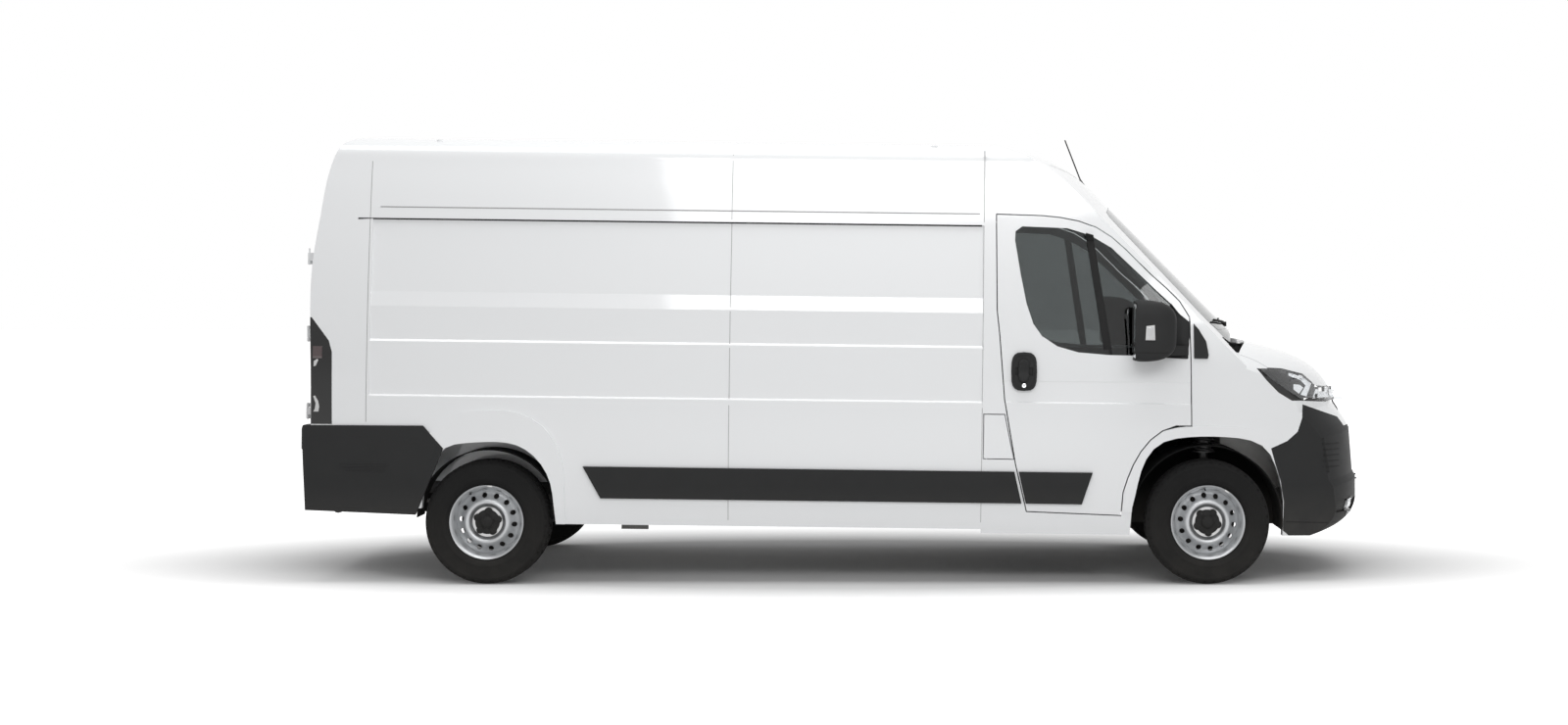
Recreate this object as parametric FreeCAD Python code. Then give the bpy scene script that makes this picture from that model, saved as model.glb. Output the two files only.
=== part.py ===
"""Panel van, unladen, standing slightly nose-down on its springs.

Everything is drawn in a level body frame (mm): +X forward, +Y to the van's left, +Z up,
x measured from the middle of the overall length. The finished pieces are then tilted
together about the Y axis so that both axles stand at the tyre's radius above the floor.
"""
import math
from functools import lru_cache
import os

import FreeCAD, Part
from FreeCAD import Vector

# Stance and axles
PITCH_DEG = 0.7
PITCH_Z = 620.0
WHEELBASE = 4035.0
FRONT_AXLE_X = 2051.0
TRACK_FRONT = 1810.0
TRACK_REAR = 1790.0

# Brings the middle of the overall length, bumper to bumper, over the origin
ORIGIN_X = 10.1

# Tyres and rims
TYRE_R = 348.0
TYRE_W = 225.0
RIM_R = 190.5
RIM_FLANGE_R = 207.0
RIM_W = 178.0
HUB_R = 80.0
AXLE_R = 32.0
AXLE_FIT = 0.05

# Body section: widest line, tuck-in above and below it, roof
HALF_WIDTH = 1025.0
SHOULDER_Z = 1045.0
SILL_TUCK = 52.0
CANT_TUCK = 95.0
ROOF_Z = 2492.0
ROOF_CROWN = 31.0
CANT_Z = 2350.0
FLOOR_TOP = 560.0
FLOOR_T = 30.0

# Walls
SIDE_T = 45.0
DOOR_T = 58.0
ROOF_T = 40.0
GLASS_T = 6.0
HOOD_T = 26.0
NOSE_T = 32.0
BUMPER_T = 36.0

# Gaps
SHUT_GAP = 6.0
HINGE_GAP = 9.0
SEAT = 0.3
PIN_FIT = 0.3

# Body stations along X
REAR_X = -2988.0
B_SEAM_X = 784.0
MID_SEAM_X = -630.0
REAR_SEAM_X = -2655.0
SIDE_DOOR_REAR_X = -622.0
SIDE_DOOR_FRONT_X = 700.0
BULKHEAD_X = 640.0

# Door hinges
DOOR_HINGE_X = 1916.0
DOOR_HINGE_Y = 1003.0
DOOR_HINGE_ZS = (985.0, 1240.0)
REAR_HINGE_X = -3012.0
REAR_HINGE_Y = 900.0
REAR_HINGE_ZS = (930.0, 1365.0, 1800.0)
REAR_DOOR_HALF = 885.0
REAR_DOOR_MIDDLE = 3.5
REAR_DOOR_Z = (578.0, 2290.0)

REAR_PANELS = ((640.0, 960.0), (1190.0, 1340.0), (1440.0, 2180.0))
REAR_PANEL_Y = (95.0, 700.0)
REAR_PANEL_DEPTH = 9.0

# Bonnet hinge and the trough behind the bonnet
HOOD_HINGE = (2300.0, 1316.0)
HOOD_HINGE_Y = 700.0
TROUGH_Z = 1318.0

# Fuel flap
FLAP_OUTLINE = ((796, 962), (908, 962), (960, 718), (796, 718))
FLAP_HINGE_X = 811.0
FLAP_HINGE_Y = -1011.5
FLAP_T = 5.0

# Trim
STRIP_T = 15.0
FLARE_T = 11.0
WING_LIP_T = 8.0
SAIL_T = 10.0
BUMPER_POCKET = 18.0
BUMPER_RECESS_T = 12.0
GRILLE_SLOTS = ((998.0, 1022.0), (1034.0, 1058.0), (1070.0, 1094.0))
BUMPER_RECESS = ((2693, 848), (2821, 850), (2823, 654), (2728, 653))
BUMPER_SCOOP = ((2800, 500), (3050, 486), (3050, 430), (2790, 425))
BUMPER_PROUD = 14.0
REAR_STEP = 50.0
TAIL_LAMP_Y = 915.0
HANDLE_CENTRE = (1015.0, 1206.0)
DOOR_STRIP_OUTLINE = ((992, 645), (1034, 467), (1347, 466), (1405, 645))
REAR_STRIP_OUTLINE = ((-1442, 645), (-1343, 467), (1010, 467), (968, 645))
REAR_BUMPER_OUTLINE = ((-3100, 858), (-2335, 863), (-2221, 736), (-2377, 361),
                       (-3100, 384))

# Door mirrors
MIRROR_Y = -1156.0
MIRROR_Z = 1444.0
MIRROR_HALF_W = 96.0
MIRROR_HALF_H = 170.0

# Running gear
STRUT_Y = 742.0
SPRING_Y = 600.0
RAIL_Y = 480.0
FRONT_RAIL_Y = 465.0
RAIL_HALF_W = 38.0
OUTRIGGER_Y = 905.0
KINGPIN_Y = 850.0
SHAFT_INNER_Y = 296.0
STRUT_TOP = 548.0
STRUT_FOOT = 118.0
FOOT_Z = -142.0
BRAKE_R = 122.0
BRAKE_S = (36.0, 58.0)
OUTRIGGER_XS = (-1160.0, 100.0)
CROSS_XS = (-2150.0, -1500.0, -800.0, 500.0)
JACK_X = -1160.0
JACK_BOTTOM = 288.0
# Half the side of the square hatch in the bumper, ahead of the towing socket
TOW_HATCH = 48.0
TOW_Y = 330.0
TOW_Z = 470.0
TOW_EYE_R = 15.0
TOW_EYE_X = -2935.0
TOW_EYE_Z = 350.0
SPARE_X = -2560.0
FLOOR_REAR_X = -2925.0
RIM_HOLES = 14
RACK_Y = 830.0
RACK_TOP_Z = 2470.0
RACK_BOSS_R = 16.0
RACK_BOSS_H = 40.0
RACK_XS = (-2300.0, 500.0)

# Cab
PILLAR_Y = 938.0
DASH_HALF = 879.7
SCUTTLE_HALF = 860.0
DRIVER_Y = -470.0
WHEEL_CENTRE = (1630.0, DRIVER_Y, 1250.0)
WHEEL_AXIS = (-0.7, 0.0, 0.714)

PITCH = math.radians(PITCH_DEG)


def eased(points, first, last, count):
    """Outline with one run of its points replaced by points on a smooth curve through them."""
    curve = Part.BSplineCurve()
    curve.interpolate([Vector(x, 0, z) for x, z in points[first:last + 1]])
    run = tuple((point.x, point.z) for point in curve.discretize(Number=count))
    return points[:first] + run + points[last + 1:]


def body_point(x, z):
    """Level-frame place of a point that stands at x, z once the van is tilted."""
    dz = z - PITCH_Z
    return (x * math.cos(PITCH) - dz * math.sin(PITCH),
            PITCH_Z + x * math.sin(PITCH) + dz * math.cos(PITCH))


FRONT_X, FRONT_Z = body_point(FRONT_AXLE_X, TYRE_R)
BACK_X, BACK_Z = body_point(FRONT_AXLE_X - WHEELBASE, TYRE_R)


# Shape helpers

def polygon(points):
    return Part.Wire(Part.makePolygon(list(points) + [points[0]]).Edges)


def prism_y(points, y0, y1):
    face = Part.Face(polygon([Vector(x, y0, z) for x, z in points]))
    return face.extrude(Vector(0, y1 - y0, 0))


def prism_z(points, z0, z1):
    face = Part.Face(polygon([Vector(x, y, z0) for x, y in points]))
    return face.extrude(Vector(0, 0, z1 - z0))


def prism_x(points, x0, x1):
    face = Part.Face(polygon([Vector(x0, y, z) for y, z in points]))
    return face.extrude(Vector(x1 - x0, 0, 0))


def box(x0, x1, y0, y1, z0, z1):
    return Part.makeBox(x1 - x0, y1 - y0, z1 - z0, Vector(x0, y0, z0))


def rod(start, end, r):
    a = Vector(*start)
    b = Vector(*end)
    return Part.makeCylinder(r, a.distanceToPoint(b), a, b - a)


def spline(points):
    curve = Part.BSplineCurve()
    curve.interpolate([Vector(*p) for p in points])
    return curve.toShape()


def mirrored(shape):
    return shape.mirror(Vector(0, 0, 0), Vector(0, 1, 0))


def both(shape):
    return [shape, mirrored(shape)]


def fused(shapes):
    first = shapes[0]
    return first.fuse(shapes[1:]).removeSplitter() if len(shapes) > 1 else first


def side_prism(points, inner=500.0, outer=1300.0, gap=0.0):
    """Solid of a side-view outline on the van's right, grown by a gap all round."""
    wire = polygon([Vector(x, -outer, z) for x, z in points])
    if gap:
        wire = wire.makeOffset2D(gap, 2)
    return Part.Face(wire).extrude(Vector(0, outer - inner, 0))


def revolve_y(profile, x, y, z):
    """Turn a closed (radius, offset) profile about the line along Y at x, z."""
    points = [Vector(x + r, y + s, z) for r, s in profile]
    face = Part.Face(polygon(points))
    return face.revolve(Vector(x, y, z), Vector(0, 1, 0), 360)


# Body surfaces

def tuck(z):
    """How far the side stands in from the widest line."""
    if z < SHOULDER_Z:
        return SILL_TUCK * ((SHOULDER_Z - z) / 745.0) ** 2.2
    return CANT_TUCK * ((z - SHOULDER_Z) / (CANT_Z - SHOULDER_Z)) ** 2


def low_taper(x):
    ahead = x - (FRONT_X - 500.0)
    return 30.0 * (ahead / 700.0) ** 2.2 if ahead > 0 else 0.0


def high_taper(x):
    ahead = x - (FRONT_X - 1100.0)
    return 70.0 * (ahead / 1000.0) ** 1.5 if ahead > 0 else 0.0


def upper_share(z):
    t = min(max((z - 1250.0) / 650.0, 0.0), 1.0)
    return t * t * (3.0 - 2.0 * t)


def half_width(x, z):
    share = upper_share(z)
    return HALF_WIDTH - tuck(z) - low_taper(x) * (1.0 - share) - high_taper(x) * share


SIDE_LEVELS = (200, 350, 500, 700, 900, 1100, 1300, 1500, 1700, 1900, 2100, 2250, 2350)
ROOF_CORNER = ((-8, 47), (-38, 87), (-82, 109))
ROOF_POINTS = ((-600, 0.36), (-300, 0.09), (0, 0.0))


def section_points(x):
    """Right half of the cross-section, from the sill up to the middle of the roof."""
    side = [(-half_width(x, z), float(z)) for z in SIDE_LEVELS]
    top_y = side[-1][0]
    corner = [(top_y - dy, CANT_Z + dz) for dy, dz in ROOF_CORNER]
    roof = [(y, ROOF_Z - ROOF_CROWN * k) for y, k in ROOF_POINTS]
    return side + corner + roof


def inset_points(points, t):
    """The same half-section moved in by a wall thickness along its own normals."""
    moved = []
    last = len(points) - 1
    for i, (y, z) in enumerate(points):
        y0, z0 = points[max(i - 1, 0)]
        y1, z1 = points[i + 1] if i < last else (-points[i - 1][0], points[i - 1][1])
        length = math.hypot(y1 - y0, z1 - z0)
        moved.append((y + t * (z1 - z0) / length, z - t * (y1 - y0) / length))
    return moved


def section_wire(x, t=0.0):
    half = inset_points(section_points(x), t) if t else section_points(x)
    half[-1] = (0.0, half[-1][1])
    right = [(x, y, z) for y, z in half]
    left = [(x, -y, z) for y, z in reversed(half[:-1])]
    over = spline(right + left)
    return Part.Wire([over, Part.makeLine(Vector(*left[-1]), Vector(*right[0]))])


FRONT_STATIONS = (654, 954, 1254, 1554, 1804, 2054, 2304, 2554, 2804, 3054)


@lru_cache(None)
def front_sides(t=0.0):
    return Part.makeLoft([section_wire(x, t) for x in FRONT_STATIONS], True, False)


@lru_cache(None)
def rear_sides(t=0.0, x0=-3200.0, x1=B_SEAM_X):
    wire = section_wire(0.0, t)
    wire.translate(Vector(x0, 0, 0))
    return Part.Face(wire).extrude(Vector(x1 - x0, 0, 0))


STATIONS = (-1034, -1015, -985, -950, -910, -860, -780, -650, -450, -220, 0)
ALL_STATIONS = STATIONS + tuple(-y for y in reversed(STATIONS[:-1]))


def super_round(y, power):
    a = min(abs(y), 1034.0) / 1035.0
    return 1.0 - (1.0 - a ** power) ** (1.0 / power)


def swept_loft(wire, back, drop):
    """Loft one side-view wire across the van, set back and lowered towards the sides."""
    wires = []
    for y in ALL_STATIONS:
        copy = wire.copy()
        copy.translate(Vector(back(y), y, -drop(y)))
        wires.append(copy)
    return Part.makeLoft(wires, True, False)


def inset_loop(points, t):
    """Move each corner of a closed outline inwards, so that its sides move in by t."""
    count = len(points)
    area = sum(points[i - 1][0] * points[i][1] - points[i][0] * points[i - 1][1]
               for i in range(count))
    turn = 1.0 if area > 0 else -1.0
    moved = []
    for i, (x, z) in enumerate(points):
        before = points[i - 1]
        after = points[(i + 1) % count]
        first = Vector(-(z - before[1]), x - before[0], 0).normalize() * turn
        second = Vector(-(after[1] - z), after[0] - x, 0).normalize() * turn
        middle = (first + second) * (1.0 / (1.0 + first.dot(second)))
        moved.append((x + middle.x * t, z + middle.y * t))
    return moved


def closed_profile(pieces, t=0.0):
    """Wire in the XZ plane: each piece is a list of points, curved when it has over two."""
    loop = [point for piece in pieces for point in piece[:-1]]
    if t:
        loop = inset_loop(loop, t)
    edges = []
    first = 0
    for piece in pieces:
        last = first + len(piece) - 1
        placed = [loop[i % len(loop)] for i in range(first, last + 1)]
        placed = [(x, 0.0, z) for x, z in placed]
        if len(placed) == 2:
            edges.append(Part.makeLine(Vector(*placed[0]), Vector(*placed[1])))
        else:
            edges.append(spline(placed))
        first = last
    return Part.Wire(edges)


# Windscreen and cab roof

SCREEN_TOP = (1523.0, 2170.0)
SCREEN_BASE = (2295.0, 1407.0)


def screen_back(y):
    return -120.0 * (y / 850.0) ** 2


def screen_drop(y):
    return 24.0 * (y / 850.0) ** 2


def cab_profile(t):
    slope = (SCREEN_BASE[1] - SCREEN_TOP[1]) / (SCREEN_BASE[0] - SCREEN_TOP[0])
    end = (2420.0, SCREEN_BASE[1] + slope * (2420.0 - SCREEN_BASE[0]))
    roof = [(454.0, 2545.0), (700.0, 2521.0), (953.0, 2492.0), (1093.0, 2463.0),
            (1243.0, 2401.0), (1403.0, 2286.0), SCREEN_TOP]
    return closed_profile([roof, [SCREEN_TOP, end], [end, (end[0], -300.0)],
                           [(end[0], -300.0), (454.0, -300.0)],
                           [(454.0, -300.0), (454.0, 2545.0)]], t)


@lru_cache(None)
def cab_solid(t=0.0):
    return swept_loft(cab_profile(t), screen_back, screen_drop)


# Bonnet and nose

NOSE_TIP_X = 3002.0


def nose_back(y):
    return -680.0 * super_round(y, 2.8)


def nose_drop(y):
    return 25.0 * (y / HALF_WIDTH) ** 2 + 300.0 * super_round(y, 8)


def nose_profile(t):
    x = NOSE_TIP_X
    return closed_profile([
        [(1850.0, 1486.0), (x - 648, 1375.0)],
        [(x - 648, 1375.0), (x - 498, 1342.0), (x - 348, 1290.0), (x - 228, 1210.0),
         (x - 163, 1120.0), (x - 140, 1040.0)],
        [(x - 140, 1040.0), (x - 63, 930.0)],
        [(x - 63, 930.0), (x - 43, 890.0)],
        [(x - 43, 890.0), (x - 21, 644.0)],
        [(x - 21, 644.0), (x - 2, 608.0)],
        [(x - 2, 608.0), (x, 490.0)],
        [(x, 490.0), (x - 36, 401.0), (x - 96, 351.0), (x - 208, 308.0)],
        [(x - 208, 308.0), (x - 208, -300.0)],
        [(x - 208, -300.0), (1850.0, -300.0)],
        [(1850.0, -300.0), (1850.0, 1486.0)]], t)


@lru_cache(None)
def nose_solid(t=0.0):
    return swept_loft(nose_profile(t), nose_back, nose_drop)


# Rear end

def rear_back(y):
    return 10.0 * (y / 1000.0) ** 2 + 90.0 * super_round(y, 14)


def rear_drop(y):
    return 24.0 * (y / 850.0) ** 2


def rear_profile(t):
    x = REAR_X
    return closed_profile([
        [(1000.0, 2560.0), (x + 300, 2507.0)],
        [(x + 300, 2507.0), (x + 215, 2494.0), (x + 150, 2462.0), (x + 112, 2400.0),
         (x + 40, 2059.0), (x + 6, 1829.0), (x - 6, 1600.0), (x, 1200.0), (x + 4, 700.0),
         (x + 6, -300.0)],
        [(x + 6, -300.0), (1000.0, -300.0)],
        [(1000.0, -300.0), (1000.0, 2560.0)]], t)


@lru_cache(None)
def rear_solid(t=0.0):
    return swept_loft(rear_profile(t), rear_back, rear_drop)


# Outlines seen from the side, right-hand side of the van

FRONT_ARCH = ((1612, 200), (1629, 450), (1668, 629), (1726, 761), (1796, 820), (1890, 845),
              (2175, 851), (2271, 839), (2378, 786), (2426, 709), (2463, 603), (2483, 485),
              (2484, 200))
REAR_ARCH = ((-1580, 200), (-1612, 490), (-1667, 643), (-1739, 720), (-1811, 760),
             (-1990, 776), (-2120, 766), (-2208, 741), (-2273, 660), (-2332, 542),
             (-2364, 200))
REAR_FLARE = ((-1540, 300), (-1550, 622), (-1590, 759), (-1663, 862), (-1800, 937),
              (-1965, 954), (-2129, 933), (-2248, 871), (-2340, 760), (-2372, 600),
              (-2382, 370))
FRONT_FLARE = ((1575, 420), (1590, 560), (1632, 690), (1702, 815), (1790, 880),
               (1890, 905), (2175, 911), (2290, 897), (2400, 840), (2398, 780), (2484, 485))
DOOR_OUTLINE = ((855, 2081), (864, 1549), (881, 1402), (911, 1051), (977, 685),
                (1041, 424), (1565, 408), (1574, 535), (1618, 668), (1688, 793),
                (1774, 876), (1952, 915), (1944, 1274), (1936, 1519), (1882, 1606),
                (1741, 1736), (1547, 1922), (1422, 2010), (1283, 2055), (1108, 2076))
WINDOW_OUTLINE = ((958, 1940), (960, 1989), (998, 2017), (1250, 2010), (1378, 1973),
                  (1500, 1903), (1638, 1775), (1752, 1668), (1838, 1590), (1880, 1530),
                  (1890, 1300), (1493, 1303), (1317, 1316), (1200, 1348), (1113, 1405),
                  (1064, 1472), (1024, 1588), (992, 1744))
SAIL_OUTLINE = ((1962, 1484), (1990, 1452), (2032, 1384), (2045, 1310), (2040, 1290),
                (1964, 1290))
LAMP_OUTLINE = ((2319, 1238), (2468, 1231), (2604, 1198), (2681, 1132), (2760, 1122),
                (3100, 1118), (3100, 1047), (2716, 1047), (2580, 1058), (2521, 1058),
                (2444, 1103), (2375, 1171))
BUMPER_OUTLINE = ((2585, 1037), (2581, 961), (2556, 884), (2498, 832), (2406, 790),
                  (2430, 709), (2465, 603), (2486, 485), (2486, 325), (2520, 296),
                  (3100, 296), (3100, 905), (2866, 905), (2827, 956))
TAIL_LAMP_OUTLINE = ((-3060, 1475), (-2965, 1460), (-2867, 1331), (-2849, 1267),
                     (-2844, 865), (-3060, 865))

# Heights and lengths along the sides
SILL_BOTTOM = 350.0
REAR_SKIRT_Z = 318.0
SKIRT_END_Z = 398.0
ROOF_EDGE_Z = 2355.0
DRIP_Z = 2017.0
RECESS_REAR_X = -2640.0
RECESS_FRONT_X = 790.0
RECESS = 12.0
PRESSING = ((2020, 0.0), (2012, 12.0), (1611, 12.0), (1529, 1.5), (1345, 12.0),
            (1333, 1.5), (1037, 12.0), (1027, 0.0))
CREASE_Z = 1029.0
HEADER_X = 1440.0
LAMP_INNER_Y = 540.0
GRILLE_Z = (985.0, 1118.0)
WHEELHOUSE_Y = 596.0
REAR_BOX_Y = 708.0
REAR_BOX_TOP = 800.0
LINER_FRONT_R = 428.0
LINER_REAR_R = 404.0


FRONT_ARCH = eased(FRONT_ARCH, 1, 11, 20)
REAR_ARCH = eased(REAR_ARCH, 1, 9, 18)
REAR_FLARE = eased(REAR_FLARE, 1, 9, 18)
FRONT_FLARE = eased(FRONT_FLARE, 0, 8, 18)
DOOR_OUTLINE = eased(DOOR_OUTLINE, 13, 19, 11)
DOOR_OUTLINE = eased(DOOR_OUTLINE, 7, 11, 8)


class Body:
    """The big surfaces, each built once and shared by the panels cut from them."""

    def __init__(self):
        self.cab = cab_solid()
        self.nose = nose_solid()
        self.sides = front_sides()
        self.front = self.cab.fuse(self.nose).common(self.sides)
        self.rear = rear_sides().common(rear_solid())

    def front_wall(self, side_t, cab_t, nose_t):
        """Front shell of the given wall thicknesses, open at the bottom and the back."""
        hollow = cab_solid(cab_t).fuse(nose_solid(nose_t)).common(front_sides(side_t))
        return self.front.cut(hollow)

    def rear_wall(self, side_t, back_t):
        return self.rear.cut(rear_sides(side_t, x1=B_SEAM_X + 50).common(rear_solid(back_t)))


def pressing_cutter():
    """What the long side pressings take off the right wall of the load space."""
    inner = [(-(HALF_WIDTH - tuck(z)) + depth, float(z)) for z, depth in PRESSING]
    levels = [z for z, depth in PRESSING]
    outer = [(-1200.0, float(z)) for z in reversed(levels)]
    cutter = prism_x(inner + outer, RECESS_REAR_X, RECESS_FRONT_X + 10)
    return cutter


def crease_cutter():
    """Shallow undercut above the shoulder crease, from the door seam to the wing."""
    wires = []
    for x in (770.0, 1100.0, 1500.0, 1900.0, 2200.0):
        low = half_width(x, CREASE_Z)
        depth = 9.0 if x < 2000 else 3.0
        points = [(x, -low - 6, CREASE_Z - 3), (x, -low + depth, CREASE_Z + 9),
                  (x, -half_width(x, 1150.0) + 2, 1150.0), (x, -low - 6, 1170.0)]
        wires.append(polygon([Vector(*p) for p in points]))
    return Part.makeLoft(wires, True, False)


def screen_prism(margin, depth_in=330.0, depth_out=60.0):
    """Prism square to the windscreen, through its outline grown by a margin."""
    run = SCREEN_BASE[0] - SCREEN_TOP[0]
    fall = SCREEN_TOP[1] - SCREEN_BASE[1]
    length = math.hypot(run, fall)
    along = Vector(run / length, 0, -fall / length)
    out = Vector(fall / length, 0, run / length)
    top = Vector(SCREEN_TOP[0], 0, SCREEN_TOP[1])
    corners = [(18.0, 690.0), (55.0, 748.0), (780.0, 855.0), (985.0, 868.0), (1030.0, 820.0)]
    right = []
    for u, y in corners:
        toward = -margin if u < 500 else margin
        right.append(top + along * (u + toward) + Vector(0, -(y + margin), 0))
    left = [Vector(p.x, -p.y, p.z) for p in reversed(right)]
    base = [p - out * depth_in for p in right + left]
    return Part.Face(polygon(base)).extrude(out * (depth_in + depth_out))


def bonnet_edge(gap=0.0):
    """Plan outline of the bonnet, grown by a gap."""
    half = ((2170.0, -905.0 - gap), (2330.0, -930.0 - gap), (2900.0, -1040.0 - gap),
            (3150.0, -1040.0 - gap))
    return half + tuple((x, -y) for x, y in reversed(half))


def bonnet_zone(gap=0.0):
    """Everything above the lamp line and ahead of the scuttle line."""
    lower = [(2319.0, 1244.0), (2468.0, 1237.0), (2604.0, 1204.0), (2681.0, 1138.0),
             (2760.0, 1128.0), (3100.0, 1124.0)]
    lower = [(x, z - gap) for x, z in lower]
    side = prism_y([(2150.0, 1290.0 - gap)] + lower + [(3100.0, 1600.0), (2150.0, 1600.0)],
                   -1100.0, 1100.0)
    return side.common(prism_z(bonnet_edge(gap), 1000.0, 1700.0))


def scuttle_zone(front, rear, top=1470.0):
    """Strip across the foot of the windscreen, bowed back towards the sides."""
    wires = []
    for y in (-900.0, -700.0, -450.0, -200.0, 0.0, 200.0, 450.0, 700.0, 900.0):
        back = -96.0 * (y / 800.0) ** 2
        drop = 30.0 * (y / 800.0) ** 2
        points = [(rear, 1452.0), (rear - 70.0, 1380.0), (rear - 70.0, 1285.0),
                  (front, 1285.0), (front, top), (rear, top)]
        wires.append(polygon([Vector(x + back, y, z - drop) for x, z in points]))
    return Part.makeLoft(wires, True, False)


def ring_frame(outer, inner):
    return outer.cut(inner)


def make_body(nodes):
    body = Body()
    skin = body.front_wall(DOOR_T, ROOF_T, NOSE_T)
    skin = skin.common(box(B_SEAM_X, 3100, -1100, 1100, 296, 2600))
    windscreen = screen_glass(body)
    scuttle = scuttle_zone(2345.0, 2262.0, TROUGH_Z)
    hood_zone = bonnet_zone().cut(scuttle_zone(2345.0 + SHUT_GAP, 1900.0))
    hood = body.nose.common(body.sides).common(hood_zone).cut(nose_solid(HOOD_T))
    hood = biggest(hood.fuse(hood_lugs(True)).cut(hood_bores()))
    front = fixed_front(body, skin, windscreen, scuttle)
    nodes.update(front)
    nodes["windscreen"] = windscreen
    nodes["bonnet"] = hood
    nodes.update(rear_body(body))
    return body


def hood_lugs(on_hood):
    """Bonnet hinge knuckles: lugs under the bonnet, or arms and pins on the scuttle wall."""
    x, z = HOOD_HINGE
    parts = []
    for side in (-1, 1):
        y = side * HOOD_HINGE_Y
        if on_hood:
            for low in (y - 38, y + 18):
                lug = rod((x, low, z), (x, low + 20, z), 8.0)
                parts.append(lug.fuse(box(x - 8, x + 8, low, low + 20, z, z + 22)))
        else:
            arm = prism_y([(x + 5, z - 4), (x + 2, z - 22), (x - 14, z - 46), (2104, 1240),
                           (2104, 1264), (x - 34, z - 30), (x - 16, z - 23), (x - 6, z - 4)],
                          y - 14, y + 14)
            pin = rod((x, y - 40, z), (x, y + 40, z), 4.0)
            parts.append(arm.fuse([rod((x, y - 14, z), (x, y + 14, z), 8.0), pin]))
    return parts


def hood_bores():
    x, z = HOOD_HINGE
    return [rod((x, side * HOOD_HINGE_Y - 50, z), (x, side * HOOD_HINGE_Y + 50, z),
                4.0 + PIN_FIT) for side in (-1, 1)]


def biggest(shape):
    return max(shape.Solids, key=lambda solid: solid.Volume)


def screen_glass(body):
    sheet = body.cab.common(body.sides).cut(cab_solid(GLASS_T))
    return biggest(sheet.common(screen_prism(0.0)))


def door_blanks(body):
    """Right front door with its window cut and the hinge pockets let into its edge."""
    wall = body.front.common(side_prism(DOOR_OUTLINE, 700.0))
    wall = wall.cut(front_sides(DOOR_T)).cut(crease_cutter())
    wall = wall.cut(side_prism(WINDOW_OUTLINE, 700.0))
    for z in DOOR_HINGE_ZS:
        wall = wall.cut(box(DOOR_HINGE_X - 13, 1980, -DOOR_HINGE_Y - 9, -800, z - 32, z + 32))
        bore_r = 4.0 + PIN_FIT
        wall = wall.cut(rod((DOOR_HINGE_X, -DOOR_HINGE_Y, z - 52),
                            (DOOR_HINGE_X, -DOOR_HINGE_Y, z + 52), bore_r))
    return biggest(wall)


def door_hinges():
    """Hinge arms and pins that the front pillar carries for the right door."""
    parts = []
    for z in DOOR_HINGE_ZS:
        arm = box(DOOR_HINGE_X - 7, DOOR_HINGE_X + 7, -DOOR_HINGE_Y, -PILLAR_Y + 8, z - 26, z + 26)
        barrel = rod((DOOR_HINGE_X, -DOOR_HINGE_Y, z - 26),
                     (DOOR_HINGE_X, -DOOR_HINGE_Y, z + 26), 7.0)
        pin = rod((DOOR_HINGE_X, -DOOR_HINGE_Y, z - 48),
                  (DOOR_HINGE_X, -DOOR_HINGE_Y, z + 48), 4.0)
        parts.append(arm.fuse([barrel, pin]))
    return parts


WING_REAR_LINE = ((1952, 915), (1944, 1274), (1947, 1296), (2060, 1296), (2060, 1500))


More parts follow.
